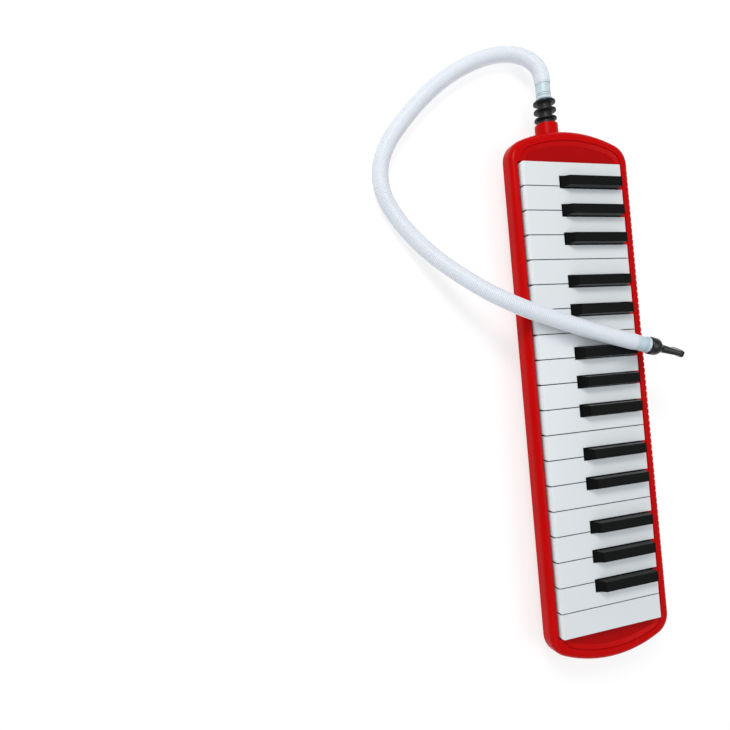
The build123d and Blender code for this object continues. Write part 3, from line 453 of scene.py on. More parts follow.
@dataclass(frozen=True)
class Metal:
    """Drawn, rolled or stamped metal with the marks of its making along one axis."""

    name: str
    colour: RGB
    tarnish: RGB
    roughness: float = 0.28
    grain: Point = (1.0, 30.0, 30.0)
    line: float = 0.004

    def build(self, effects: Effects) -> bpy.types.Material:
        """Builds the material from the shared effects."""
        material, graph, surface = shader_material(self.name, {"Metallic": 1.0})
        place = graph.place()
        edge = effects.place(graph, Effect.EASED_EDGE, {"Radius": 0.0002, "Patch": 0.003})
        scratches = effects.place(graph, Effect.HAIRLINES, {"Spacing": 0.003, "Cover": 0.6})
        drawn = graph.noise(graph.stretched(place, self.grain), self.line, 6.0, 0.6)
        stain = graph.remap(graph.noise(place, 0.009, 5.0), 0.45, 0.75)
        colour = graph.blend(stain, self.colour, self.tarnish)
        colour = graph.blend(edge.outputs["Wear"], colour, BARE_METAL)
        rough = graph.math("ADD", graph.product(drawn, 0.18), self.roughness - 0.09)
        rough = graph.math("ADD", rough, graph.product(stain, 0.15))
        height = graph.math("SUBTRACT", drawn, scratches.outputs[0])
        bump = graph.add("Bump", {"Height": height, "Distance": 0.00001, "Strength": 0.7,
                                  "Normal": edge.outputs["Normal"]})
        graph.join(surface, colour, rough, bump.outputs[0])
        return material


@dataclass(frozen=True)
class Felt:
    """Pressed wool: matted fibres, two tones and a soft sheen."""

    name: str
    colour: RGB
    fibre: RGB

    def build(self, effects: Effects) -> bpy.types.Material:
        """Builds the material from the shared effects."""
        material, graph, surface = shader_material(self.name, {
            "Sheen Weight": 0.6, "Sheen Roughness": 0.6, "Specular IOR Level": 0.1})
        place = graph.place()
        dust = effects.place(graph, Effect.DUST, {"Film": 0.05, "Specks": 0.2})
        fibres = graph.add("TexNoise", {"Vector": place, "Scale": 2600.0, "Detail": 6.0,
                                        "Roughness": 0.7, "Distortion": 1.6}).outputs[0]
        clumps = graph.noise(place, 0.003, 3.0)
        tone = graph.remap(graph.math("ADD", fibres, clumps), 0.8, 1.2)
        wool = graph.blend(tone, self.colour, self.fibre)
        colour = graph.blend(dust.outputs[0], wool, WOOL_DUST)
        rough = graph.remap(fibres, 0.3, 0.7, 0.85, 1.0)
        bump = graph.add("Bump", {"Height": graph.math("ADD", fibres, clumps), "Distance": 0.0002,
                                  "Strength": 0.8})
        graph.join(surface, colour, rough, bump.outputs[0])
        return material


@dataclass(frozen=True)
class Webbing:
    """Woven polyester webbing."""

    name: str
    colour: RGB
    lit: RGB

    def build(self, effects: Effects) -> bpy.types.Material:
        """Builds the material from the shared effects."""
        material, graph, surface = shader_material(self.name, {
            "Sheen Weight": 0.3, "Sheen Roughness": 0.4, "Specular IOR Level": 0.3})
        place = graph.place()
        weave = effects.place(graph, Effect.WEAVE, {"Yarn": 0.0011, "Pick": 0.0016})
        fuzz = graph.noise(place, 0.0002, 4.0, 0.7)
        fade = graph.remap(graph.noise(place, 0.02, 4.0), 0.4, 0.8)
        colour = graph.blend(weave.outputs["Yarn mask"], self.colour, self.lit)
        colour = graph.blend(graph.product(fade, 0.3), colour, FADED_BLACK)
        rough = graph.remap(fuzz, 0.3, 0.7, 0.6, 0.85)
        height = graph.math("ADD", weave.outputs["Height"], graph.product(fuzz, 0.3))
        bump = graph.add("Bump", {"Height": height, "Distance": 0.00025, "Strength": 0.9})
        graph.join(surface, colour, rough, bump.outputs[0])
        return material


@dataclass(frozen=True)
class MilkyPlastic:
    """Soft, slightly clear plastic of the hose and its cuffs, with painted shade in its valleys."""

    name: str
    colour: RGB
    deep: RGB
    # colour of the painted shade at the bottom of the grooves
    valley_shade: RGB
    roughness: float = 0.38
    subsurface: float = 0.35

    def build(self, effects: Effects) -> bpy.types.Material:
        """Builds the material from the shared effects."""
        material, graph, surface = shader_material(self.name, {
            "Subsurface Weight": self.subsurface, "Subsurface Radius": (0.0028, 0.0034, 0.0040),
            "Subsurface Scale": 1.0, "Specular IOR Level": 0.45, "Coat Weight": 0.12,
            "Coat Roughness": 0.25})
        place = graph.place()
        grain = effects.place(graph, Effect.MOULD_GRAIN, {"Size": 0.0004, "Ripple": 0.01})
        dust = effects.place(graph, Effect.DUST, {"Film": 0.03, "Specks": 0.25})
        smudges = effects.place(graph, Effect.SMUDGES, {"Size": 0.012, "Cover": 0.5})
        valley_shade = graph.add("Attribute", attribute_name=VALLEY_SHADE).outputs["Fac"]
        clouds = graph.remap(graph.noise(place, 0.02, 4.0), 0.35, 0.7)
        colour = graph.blend(clouds, self.colour, self.deep)
        # painted shade: darkens the colour towards the bottom of each groove
        colour = graph.blend(valley_shade, colour, self.valley_shade)
        colour = graph.blend(dust.outputs[0], colour, HOSE_DUST)
        rough = graph.math("ADD", graph.product(smudges.outputs[0], 0.12), self.roughness)
        bump = graph.add("Bump", {"Height": grain.outputs[0], "Distance": 0.00002, "Strength": 0.7})
        graph.join(surface, colour, rough, bump.outputs[0])
        return material


RED = Moulding(
    "case_red_gloss", (0.53, 0.0005, 0.0008), (0.50, 0.0005, 0.0008), (0.58, 0.008, 0.008),
    roughness=0.24, specular=0.06, edge=0.0006, wear=0.5, dull=Zone.END_PANELS,
    dull_roughness=0.34, dull_colour=(0.39, 0.0005, 0.0008), film=0.003, specks=0.06,
    scratches=0.08, relief=0.000006)
# the white keys get painted shade in the narrow gaps between them
WHITE_KEY = Moulding(
    "white_key_plastic", (0.74, 0.77, 0.79), (0.71, 0.74, 0.755), (0.80, 0.82, 0.83),
    roughness=0.20, coat=0.25, edge=0.0005, wear=0.3, dull=Zone.UPWARD_FACES, dull_roughness=0.30,
    dull_colour=(0.72, 0.745, 0.76), film=0.02, specks=0.15, scratches=0.05, subsurface=0.04,
    painted_gap_shade=0.95)
BLACK_KEY = Moulding(
    "black_key_plastic", (0.003, 0.003, 0.003), (0.004, 0.004, 0.004), (0.015, 0.015, 0.015),
    roughness=0.18, coat=0.06, specular=0.08, edge=0.0007, wear=0.5, dull=Zone.UPWARD_FACES,
    dull_roughness=0.42, dull_colour=(0.003, 0.003, 0.003), film=0.003, specks=0.08,
    scratches=0.10, grain=0.0004, relief=0.00002)
GREY_MOULDING = Moulding(
    "chamber_grey_plastic", (0.50, 0.51, 0.50), (0.44, 0.45, 0.44), (0.62, 0.62, 0.61),
    roughness=0.45, film=0.08, specks=0.3)
BLACK_MOULDING = Moulding(
    "small_black_plastic", (0.012, 0.012, 0.013), (0.018, 0.018, 0.018), (0.06, 0.06, 0.06),
    roughness=0.3, edge=0.0003)
BEAK = Moulding(
    "mouthpiece_black", (0.006, 0.006, 0.0065), (0.008, 0.008, 0.008), (0.03, 0.03, 0.031),
    roughness=0.2, coat=0.15, specular=0.35, edge=0.0004, film=0.006, specks=0.1)
RUBBER = Rubber("adapter_rubber")
GASKET = Rubber("gasket_rubber", (0.03, 0.03, 0.03), (0.05, 0.05, 0.05), 0.6)
PLATE = Metal("reed_plate_aluminium", (0.76, 0.76, 0.75), (0.60, 0.60, 0.58), 0.34)
BRONZE = Metal("reed_bronze", (0.72, 0.46, 0.20), (0.50, 0.30, 0.13), 0.25, (30.0, 1.0, 30.0))
ROD = Metal("rod_steel", (0.56, 0.56, 0.57), (0.40, 0.39, 0.38), 0.22)
SPRING = Metal("spring_wire", (0.50, 0.50, 0.51), (0.32, 0.31, 0.30), 0.26)
SCREW = Metal("blackened_screw", (0.16, 0.16, 0.17), (0.09, 0.085, 0.08), 0.36, (1.0, 1.0, 12.0))
FELT = Felt("stop_felt_wool", (0.16, 0.012, 0.014), (0.30, 0.03, 0.035))
STRAP = Webbing("strap_webbing", (0.008, 0.008, 0.009), (0.030, 0.030, 0.032))
HOSE = MilkyPlastic("hose_plastic", (0.80, 0.83, 0.87), (0.77, 0.80, 0.85), (0.62, 0.67, 0.74))
CUFF = MilkyPlastic("cuff_plastic", (0.56, 0.66, 0.71), (0.50, 0.61, 0.67), (0.32, 0.42, 0.48),
                    roughness=0.28)
THREAD = Felt("strap_thread", (0.02, 0.02, 0.022), (0.05, 0.05, 0.052))

CAD_FINISHES = {
    "upper_case": RED, "lower_case": RED, "blow_neck": RED, "case_screws": SCREW,
    "wind_chamber": GREY_MOULDING, "chamber_gasket": GASKET, "reed_block": GREY_MOULDING,
    "reed_plate_low": PLATE, "reed_plate_high": PLATE, "reeds": BRONZE, "reed_rivets": BRONZE,
    "pivot_rod": ROD, "key_springs": SPRING, "drain_spring": SPRING, "drain_button": BLACK_MOULDING,
    "drain_seal": GASKET, "strap_studs": BLACK_MOULDING, "hose_adapter": RUBBER}


class Wardrobe:
    """Builds each finish once and dresses pieces in it."""

    def __init__(self) -> None:
        """Starts with no finish built."""
        self.effects = Effects()
        self._built: dict[str, bpy.types.Material] = {}

    def dress(self, piece: bpy.types.Object, finish: "Finish") -> None:
        """Gives every material slot of a piece one finish.

        Args:
            piece: the mesh to dress.
            finish: the finish it gets.
        """
        if finish.name not in self._built:
            self._built[finish.name] = finish.build(self.effects)
        material = self._built[finish.name]
        if not piece.material_slots:
            piece.data.materials.append(material)
        for slot in piece.material_slots:
            slot.material = material


Finish = Moulding | Rubber | Metal | Felt | Webbing | MilkyPlastic


# ---------------------------------------------------------------- mesh helpers
def mesh_piece(name: str, points: Sequence[Vector], faces: Sequence[Sequence[int]],
               sharp: float = 40.0) -> bpy.types.Object:
    """Makes a smooth mesh piece and links it to the scene.

    Args:
        name: the piece's name.
        points: its vertices, in the part's frame.
        faces: the vertices of each face.
        sharp: edges that turn by more degrees than this stay sharp.

    Returns:
        The new object.
    """
    mesh = bpy.data.meshes.new(name)
    mesh.from_pydata([tuple(p) for p in points], [], [tuple(f) for f in faces])
    mesh.validate()
    mesh.polygons.foreach_set("use_smooth", [True] * len(mesh.polygons))
    mesh.set_sharp_from_angle(angle=math.radians(sharp))
    mesh.update()
    piece = bpy.data.objects.new(name, mesh)
    bpy.context.collection.objects.link(piece)
    return piece


def circle(sides: int) -> list[tuple[float, float]]:
    """Gives the cosine and the sine of evenly spaced angles round a circle."""
    angles = (2 * math.pi * side / sides for side in range(sides))
    return [(math.cos(angle), math.sin(angle)) for angle in angles]


def ring_faces(rings: int, sides: int) -> list[tuple[int, ...]]:
    """Gives the faces between rings of points, with a cap on the first and the last."""
    faces: list[tuple[int, ...]] = []
    for row in range(rings - 1):
        for side in range(sides):
            after = (side + 1) % sides
            faces.append((row * sides + side, row * sides + after,
                          (row + 1) * sides + after, (row + 1) * sides + side))
    faces.append(tuple(reversed(range(sides))))
    faces.append(tuple(range((rings - 1) * sides, rings * sides)))
    return faces


def mark_valleys(piece: bpy.types.Object, depths: Sequence[float]) -> None:
    """Stores how deep in a groove each vertex is, for the finish to paint shade there."""
    layer = piece.data.attributes.new(VALLEY_SHADE, "FLOAT", "POINT")
    layer.data.foreach_set("value", list(depths))


@dataclass(frozen=True)
class Axle:
    """A place and two directions across which rings are drawn."""

    start: Vector
    way: Vector
    across: Vector

    @classmethod
    def along(cls, start: Vector, way: Vector, roll: float = 0.0) -> "Axle":
        """Makes an axle whose first cross direction is level, then rolled about the axle.

        Args:
            start: where it starts.
            way: where it points.
            roll: the turn of its cross directions, in degrees.

        Returns:
            The axle.
        """
        way = way.normalized()
        level = way.cross(Vector((0, 0, 1))).normalized()
        return cls(start, way, Matrix.Rotation(math.radians(roll), 3, way) @ level)

    def at(self, distance: float, first: float, second: float) -> Vector:
        """Gives the point at a distance along the axle and off it in two directions."""
        return (self.start + self.way * distance + self.across * first
                + self.way.cross(self.across) * second)

    def moved(self, distance: float) -> "Axle":
        """Gives the same axle started further along."""
        return Axle(self.at(distance, 0, 0), self.way, self.across)


# ---------------------------------------------------------------- hose set
@dataclass
class BreathHose:
    """The ribbed hose, laid on the table and up across the keyboard."""

    # control points of its line: out of the cuff, down to the table, round in a wide bow, then
    # up over the front rail and across the keys
    route: tuple[Point, ...] = (
        (-0.2545, -0.0114, 0.0175), (-0.2646, -0.0114, 0.0175), (-0.2752, -0.0174, 0.0152),
        (-0.2820, -0.0294, 0.0112), (-0.2826, -0.0446, 0.0082), (-0.2780, -0.0610, 0.0067),
        (-0.2702, -0.0776, 0.0067), (-0.2582, -0.0966, 0.0067), (-0.2426, -0.1154, 0.0067),
        (-0.2234, -0.1334, 0.0067), (-0.2034, -0.1492, 0.0067), (-0.1844, -0.1568, 0.0067),
        (-0.1656, -0.1562, 0.0067), (-0.1476, -0.1478, 0.0073), (-0.1291, -0.1346, 0.0104),
        (-0.1117, -0.1206, 0.0174), (-0.0963, -0.1058, 0.0270), (-0.0828, -0.0907, 0.0360),
        (-0.0721, -0.0738, 0.0416), (-0.0634, -0.0533, 0.0430), (-0.0528, -0.0227, 0.0444),
        (-0.0430, 0.0050, 0.0474), (-0.0360, 0.0306, 0.0486))
    diameter: float = 0.0130
    length: float = 0.471
    ring_pitch: float = 0.0015
    ring_depth: float = 0.00026
    rows_per_ring: int = 5
    sides: int = 36
    plain_end: float = 0.002
    valley_power: float = 1.5        # above 1, the valleys are narrower than the crests
    steps: int = 24
    line: list[Vector] = field(default_factory=list)

    def centreline(self) -> list[Vector]:
        """Reads the smooth line of the route.

        Returns:
            Points along the line, close together.
        """
        curve = bpy.data.curves.new("hose_line", "CURVE")
        curve.dimensions = "3D"
        curve.resolution_u = self.steps
        spline = curve.splines.new("NURBS")
        spline.points.add(len(self.route) - 1)
        for slot, point in zip(spline.points, self.route):
            slot.co = (*point, 1.0)
        spline.order_u = 3
        spline.use_endpoint_u = True
        holder = bpy.data.objects.new("hose_line", curve)
        bpy.context.collection.objects.link(holder)
        bpy.context.view_layer.update()
        mesh = bpy.data.meshes.new_from_object(holder)
        line = [vertex.co.copy() for vertex in mesh.vertices]
        bpy.data.meshes.remove(mesh)
        bpy.data.objects.remove(holder)
        bpy.data.curves.remove(curve)
        return line

    def build(self) -> bpy.types.Object:
        """Sweeps the ribbed section along the line.

        Returns:
            The hose.
        """
        self.line = self.centreline()
        stations, total = self._stations()
        radius = self.diameter / 2
        side_way = Vector((0, 0, 1))
        points: list[Vector] = []
        depths: list[float] = []
        for place, way, travelled in stations:
            side_way = (side_way - way * side_way.dot(way)).normalized()
            up_way = way.cross(side_way)
            depth = self._valley(travelled, total)
            reach = radius - self.ring_depth * depth
            for first, second in circle(self.sides):
                points.append(place + side_way * (reach * first) + up_way * (reach * second))
                depths.append(depth)
        hose = mesh_piece("breath_hose", points, ring_faces(len(stations), self.sides), 80.0)
        mark_valleys(hose, depths)
        log.info("hose: %d rings along %.1f mm", int(total / self.ring_pitch), total / MM)
        return hose

    def _stations(self) -> tuple[list[tuple[Vector, Vector, float]], float]:
        """Gives evenly spaced places, directions and distances along the line, and its length."""
        marks = [0.0]
        for here, there in zip(self.line, self.line[1:]):
            marks.append(marks[-1] + (there - here).length)
        total = marks[-1]
        count = round(total / self.ring_pitch) * self.rows_per_ring
        stations = []
        run = 0
        for row in range(count + 1):
            travelled = total * row / count
            while run < len(marks) - 2 and marks[run + 1] < travelled:
                run += 1
            share = (travelled - marks[run]) / (marks[run + 1] - marks[run])
            here = self.line[run].lerp(self.line[run + 1], share)
            back = self.line[max(run - 1, 0)]
            ahead = self.line[min(run + 2, len(self.line) - 1)]
            stations.append((here, (ahead - back).normalized(), travelled))
        return stations, total

    def _valley(self, travelled: float, total: float) -> float:
        """Gives how deep in a groove a place is: wide round crests and narrow valleys."""
        if min(travelled, total - travelled) < self.plain_end:
            return 1.0
        return (0.5 + 0.5 * math.cos(2 * math.pi * travelled / self.ring_pitch)) ** self.valley_power


@dataclass(frozen=True)
class HoseCuff:
    """A moulded sleeve at an end of the hose, with two fine ring grooves and a bead."""

    name: str
    axle: Axle
    length: float
    radius: float = 0.0063
    bore: float = 0.00475
    bead: float = 0.0006
    bead_length: float = 0.0026
    bead_shape: float = 0.6          # below 1, the bead is fuller than half a sine wave
    swell: float = 0.0003
    lip: float = 0.0009
    lip_share: float = 0.6
    groove: float = 0.00035
    groove_width: float = 0.00042
    grooves: tuple[float, ...] = (0.62, 0.74)
    step: float = 0.00014
    sides: int = 72

    def build(self) -> bpy.types.Object:
        """Turns the sleeve's profile about its axle.

        Returns:
            The cuff.
        """
        rows = round(self.length / self.step)
        profile = [(0.0, self.bore, 0.0)]
        for row in range(rows + 1):
            distance = self.length * row / rows
            depth = self._groove_depth(distance)
            profile.append((distance, self._radius(distance) - self.groove * depth, depth))
        profile.append((self.length, self.bore, 0.0))
        points, depths = [], []
        for distance, reach, depth in profile:
            for first, second in circle(self.sides):
                points.append(self.axle.at(distance, reach * first, reach * second))
                depths.append(depth)
        cuff = mesh_piece(self.name, points, ring_faces(len(profile), self.sides), 50.0)
        mark_valleys(cuff, depths)
        return cuff

    def _radius(self, distance: float) -> float:
        """Gives the sleeve's outside: a rounded lip at the hose and a bead at the fitting."""
        end = min(distance, self.length - distance)
        rounded = 0.0
        if end < self.lip:
            rounded = self.lip - math.sqrt(self.lip ** 2 - (self.lip - end) ** 2)
        bead = 0.0
        from_fitting = self.length - distance
        if from_fitting < self.bead_length:
            bead = self.bead * math.sin(math.pi * from_fitting / self.bead_length) ** self.bead_shape
        return self.radius - self.bead - rounded * self.lip_share + bead + self.swell

    def _groove_depth(self, distance: float) -> float:
        """Gives how deep in a ring groove a distance along the sleeve is."""
        near = min(abs(distance - share * self.length) for share in self.grooves)
        if near > self.groove_width:
            return 0.0
        return 0.5 + 0.5 * math.cos(math.pi * near / self.groove_width)


@dataclass(frozen=True)
class Section:
    """One cross section of the mouthpiece."""

    distance: float
    thickness: float
    width: float
    squareness: float


@dataclass(frozen=True)
class HoseMouthpiece:
    """The mouthpiece: a round collar, a waist and a flat beak with a lip and an air slot."""

    axle: Axle
    sides: int = 96
    sections: tuple[Section, ...] = (
        Section(-0.0040, 0.0047, 0.0047, 2.0), Section(0.0, 0.0047, 0.0047, 2.0),
        Section(0.0, 0.0060, 0.0060, 2.0), Section(0.00035, 0.0066, 0.0066, 2.0),
        Section(0.0012, 0.0070, 0.0070, 2.0), Section(0.0052, 0.0070, 0.0070, 2.0),
        Section(0.0070, 0.00685, 0.00685, 2.0), Section(0.0084, 0.0063, 0.0064, 2.0),
        Section(0.0094, 0.0053, 0.0058, 2.1), Section(0.0101, 0.0043, 0.0053, 2.3),
        Section(0.0110, 0.0036, 0.0051, 2.6), Section(0.0128, 0.0033, 0.0053, 3.0),
        Section(0.0165, 0.0030, 0.0060, 3.4), Section(0.0202, 0.0027, 0.0068, 3.8),
        Section(0.0239, 0.0025, 0.0074, 4.0), Section(0.0262, 0.0024, 0.0077, 4.2),
        Section(0.0268, 0.0025, 0.0079, 4.2), Section(0.0273, 0.0029, 0.0083, 4.2),
        Section(0.0278, 0.0030, 0.0084, 4.2), Section(0.0283, 0.0028, 0.0082, 4.2),
        Section(0.0285, 0.0023, 0.0077, 4.0), Section(0.0285, 0.0013, 0.0050, 4.0),
        Section(0.0283, 0.0010, 0.0046, 4.0), Section(0.0190, 0.0009, 0.0045, 4.0))

    def build(self) -> bpy.types.Object:
        """Lofts the sections, out along the beak and back into its slot.

        Returns:
            The mouthpiece.
        """
        points = []
        for section in self.sections:
            power = 2 / section.squareness
            for cosine, sine in circle(self.sides):
                first = section.thickness * math.copysign(abs(cosine) ** power, cosine)
                second = section.width * math.copysign(abs(sine) ** power, sine)
                points.append(self.axle.at(section.distance, first, second))
        return mesh_piece("hose_beak", points, ring_faces(len(self.sections), self.sides), 45.0)


@dataclass
class HoseSet:
    """The hose with its cuffs and mouthpiece, all on the body that pulls out of the neck."""

    hose: BreathHose = field(default_factory=BreathHose)
    roll: float = 20.0
    far_cuff_length: float = 0.0115

    def build(self, wardrobe: Wardrobe) -> list[bpy.types.Object]:
        """Args:
            wardrobe: the finishes.

        Returns:
            The pieces.
        """
        tube = self.hose.build()
        start, second = (Vector(p) for p in self.hose.route[:2])
        before, end = (Vector(p) for p in self.hose.route[-2:])
        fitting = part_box("hose_cuff_near")[1][0]
        near_length = fitting - start.x
        near = HoseCuff("near_cuff", Axle.along(start, start - second), near_length).build()
        far_axle = Axle.along(end, end - before, self.roll)
        far = HoseCuff("far_cuff", far_axle, self.far_cuff_length).build()
        beak = HoseMouthpiece(far_axle.moved(self.far_cuff_length)).build()
        for piece, node, slot, finish in (
                (tube, "hose", "hose_plastic", HOSE), (near, "hose_cuff_near", "cuff_plastic", CUFF),
                (far, "hose_cuff_far", "cuff_plastic", CUFF),
                (beak, "hose_mouthpiece", "mouthpiece_plastic", BEAK)):
            wardrobe.dress(piece, finish)
            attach(piece, "hose_set")
            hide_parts(node)
        return [tube, near, far, beak]


# ---------------------------------------------------------------- soft parts on the case
@dataclass(frozen=True)
class HandStrap:
    """The webbing strap under the case, with thick selvedges and a stitched box at each stud."""

    inset: float = 0.0002
    hole: float = 0.0022
    cell: float = 0.0010
    selvedge: float = 0.0018
    corner: float = 0.0045
    box_half: float = 0.0062
    stitch: float = 0.0022
    stitch_gap: float = 0.0007
    stitch_rise: float = 0.0002
    box_gap: float = 0.002           # between a stud and its stitched box
    thread: float = 0.0003
    thread_end: float = 0.55         # share of the thread's radius at a stitch's ends
    thread_rings: int = 7
    thread_sides: int = 8
    edge_thickness: float = 0.35     # share of the thickness at the very edge
    bulge: float = 0.00012
    unevenness: float = 0.00008
    wave_x: float = 90
    wave_y: float = 160

    def build(self, wardrobe: Wardrobe) -> list[bpy.types.Object]:
        """Builds the strap and its stitching.

        Args:
            wardrobe: the finishes.

        Returns:
            The strap and the stitches.
        """
        low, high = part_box("hand_strap")
        strap = self._webbing(low, high)
        stitches = self._stitches(low, high)
        for piece, finish in ((strap, STRAP), (stitches, THREAD)):
            wardrobe.dress(piece, finish)
            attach(piece, "case")
        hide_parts("hand_strap")
        return [strap, stitches]

    def _webbing(self, low: Vector, high: Vector) -> bpy.types.Object:
        """Makes the strap as a fine grid of two skins, thin in the middle and thick at its edges."""
        columns = round((high[0] - low[0]) / self.cell)
        rows = round((high[1] - low[1]) / self.cell)
        middle_y = (low[1] + high[1]) / 2
        half_y = (high[1] - low[1]) / 2
        middle_z = (low[2] + high[2]) / 2
        points: list[Vector] = []
        for skin in (-1, 1):
            for column in range(columns + 1):
                x = low[0] + (high[0] - low[0]) * column / columns
                narrow = self._end_inset(x - low[0], high[0] - x)
                reach = half_y - narrow
                for row in range(rows + 1):
                    across = 2 * row / rows - 1
                    y = middle_y + across * reach
                    from_edge = min(reach - abs(across) * reach, min(x - low[0], high[0] - x))
                    thick = (high[2] - low[2]) / 2 - self.inset * 1.5
                    ease = min(1.0, from_edge / (self.selvedge / 2))
                    bulge = self.bulge if from_edge < self.selvedge else 0.0
                    wave = Vector((x * self.wave_x, y * self.wave_y, 2.0))
                    lift = self.unevenness * noise.noise(wave)
                    arch = math.sqrt(max(0.0, 1 - (1 - ease) ** 2))
                    height = thick * (self.edge_thickness + (1 - self.edge_thickness) * arch)
                    points.append(Vector((x, y, middle_z + skin * (height + bulge * ease) + lift)))
        faces = self._skin_faces(columns, rows)
        return mesh_piece("carry_strap", points, faces, 60.0)

    def _end_inset(self, from_low: float, from_high: float) -> float:
        """Gives how far the strap's side draws in near its rounded ends."""
        end = min(from_low, from_high)
        if end >= self.corner:
            return 0.0
        return self.corner - math.sqrt(self.corner ** 2 - (self.corner - end) ** 2)

    @staticmethod
    def _skin_faces(columns: int, rows: int) -> list[tuple[int, ...]]:
        """Gives the faces of two skins and the strip round their edge."""
        skin = (columns + 1) * (rows + 1)

        def at(layer: int, column: int, row: int) -> int:
            """Gives the number of a vertex of a skin."""
            return layer * skin + column * (rows + 1) + row

        faces: list[tuple[int, ...]] = []
        for column in range(columns):
            for row in range(rows):
                corners = ((column, row), (column + 1, row), (column + 1, row + 1), (column, row + 1))
                faces.append(tuple(at(1, *c) for c in corners))
                faces.append(tuple(at(0, *c) for c in reversed(corners)))
        edge = ([(c, 0) for c in range(columns)] + [(columns, r) for r in range(rows)]
                + [(c, rows) for c in range(columns, 0, -1)] + [(0, r) for r in range(rows, 0, -1)])
        for here, there in zip(edge, edge[1:] + edge[:1]):
            faces.append((at(0, *here), at(0, *there), at(1, *there), at(1, *here)))
        return faces

    def _stitches(self, low: Vector, high: Vector) -> bpy.types.Object:
        """Makes the crossed boxes of stitches under the strap, inboard of each stud."""
        stud_low, stud_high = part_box("strap_studs")
        stud_radius = (stud_high[1] - stud_low[1]) / 2
        middle = Vector(((low[0] + high[0]) / 2, (low[1] + high[1]) / 2, low[2] + self.inset))
        points: list[Vector] = []
        faces: list[tuple[int, ...]] = []
        for end in (-1, 1):
            stud_x = (stud_high[0] - stud_radius) if end > 0 else (stud_low[0] + stud_radius)
            inboard = stud_radius + self.box_half + self.box_gap
            centre = Vector((stud_x - end * inboard, middle.y, middle.z))
            half = self.box_half
            corners = [centre + Vector((sx * half, sy * half, 0))
                       for sx, sy in ((-1, -1), (1, -1), (1, 1), (-1, 1))]
            runs = list(zip(corners, corners[1:] + corners[:1]))
            runs += [(corners[0], corners[2]), (corners[1], corners[3])]
            for first, last in runs:
                self._stitch_run(first, last, points, faces)
        return mesh_piece("strap_stitches", points, faces, 80.0)

    def _stitch_run(self, first: Vector, last: Vector, points: list[Vector],
                    faces: list[tuple[int, ...]]) -> None:
        """Adds one row of stitches, each a short arched thread.

        Args:
            first: where the row starts.
            last: where it ends.
            points: vertices, added to.
            faces: faces, added to.
        """
        way = (last - first).normalized()
        side = way.cross(Vector((0, 0, 1)))
        count = round((last - first).length / self.stitch)
        for number in range(count):
            start = first + way * (number * self.stitch + self.stitch_gap / 2)
            base = len(points)
            for ring in range(self.thread_rings):
                share = ring / (self.thread_rings - 1)
                arch = math.sin(math.pi * share)
                radius = self.thread * (self.thread_end + (1 - self.thread_end) * arch)
                centre = start + way * ((self.stitch - self.stitch_gap) * share)
                centre = centre - Vector((0, 0, 1)) * (self.stitch_rise * arch)
                for first_way, second_way in circle(self.thread_sides):
                    points.append(centre + side * (radius * first_way)
                                  + Vector((0, 0, radius * second_way)))
            faces += [tuple(base + corner for corner in face)
                      for face in ring_faces(self.thread_rings, self.thread_sides)]


@dataclass(frozen=True)
class StopFelt:
    """The felt strip that the keys land on: soft edges and an uneven, fibrous top."""

    cell: float = 0.0008
    edge: float = 0.0005
    unevenness: float = 0.00009
    wave_along: float = 420
    wave_round: float = 600
    corner_parts: int = 3

    def build(self, wardrobe: Wardrobe) -> bpy.types.Object:
        """Builds the strip.

        Args:
            wardrobe: the finishes.

        Returns:
            The felt.
        """
        low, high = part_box("key_stop_felt")
        columns = round((high[0] - low[0]) / (2 * self.cell))
        outline = self._outline(high[1] - low[1], high[2] - low[2])
        points = []
        for column in range(columns + 1):
            x = low[0] + (high[0] - low[0]) * column / columns
            for across, up in outline:
                wave = Vector((x * self.wave_along, across * self.wave_round, up * self.wave_round))
                sunk = self.unevenness * abs(noise.noise(wave))
                points.append(Vector((x, low[1] + across, low[2] + up - sunk)))
        felt = mesh_piece("stop_felt", points, ring_faces(columns + 1, len(outline)), 60.0)
        wardrobe.dress(felt, FELT)
        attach(felt, "case")
        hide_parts("key_stop_felt")
        return felt

    def _outline(self, width: float, height: float) -> list[tuple[float, float]]:
        """Gives the strip's section, a rectangle with round corners and many points."""
        corners = ((self.edge, self.edge, 180), (width - self.edge, self.edge, 270),
                   (width - self.edge, height - self.edge, 0), (self.edge, height - self.edge, 90))
        outline = []
        for number, (x, y, start) in enumerate(corners):
            for part in range(self.corner_parts + 1):
                angle = math.radians(start + 90 * part / self.corner_parts)
                outline.append((x + self.edge * math.cos(angle), y + self.edge * math.sin(angle)))
            nearest = outline[-1]
            after = corners[(number + 1) % 4]
            begin = math.radians(after[2])
            target = (after[0] + self.edge * math.cos(begin), after[1] + self.edge * math.sin(begin))
            parts = max(1, round(math.dist(nearest, target) / self.cell))
            outline += [(nearest[0] + (target[0] - nearest[0]) * k / parts,
                         nearest[1] + (target[1] - nearest[1]) * k / parts) for k in range(1, parts)]
        return outline


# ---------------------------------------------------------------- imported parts
@dataclass(frozen=True)
class Keyboard:
    """The keys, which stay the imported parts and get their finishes."""

    white: str = "white_key_"
    black: str = "black_key_"

    def dress(self, wardrobe: Wardrobe, nodes: Mapping[str, bpy.types.Object]) -> int:
        """Dresses every key and gives their number."""
        count = 0
        for name, node in nodes.items():
            if name.startswith((self.white, self.black)):
                wardrobe.dress(node, WHITE_KEY if name.startswith(self.white) else BLACK_KEY)
                count += 1
        return count


@dataclass(frozen=True)
class CaseAndWorks:
    """The case, the neck and the works inside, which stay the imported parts."""

    finishes: Mapping[str, Finish] = field(default_factory=lambda: dict(CAD_FINISHES))

    def dress(self, wardrobe: Wardrobe, nodes: Mapping[str, bpy.types.Object]) -> int:
        """Dresses every part of the case and gives their number."""
        for name, finish in self.finishes.items():
            wardrobe.dress(nodes[name], finish)
        return len(self.finishes)


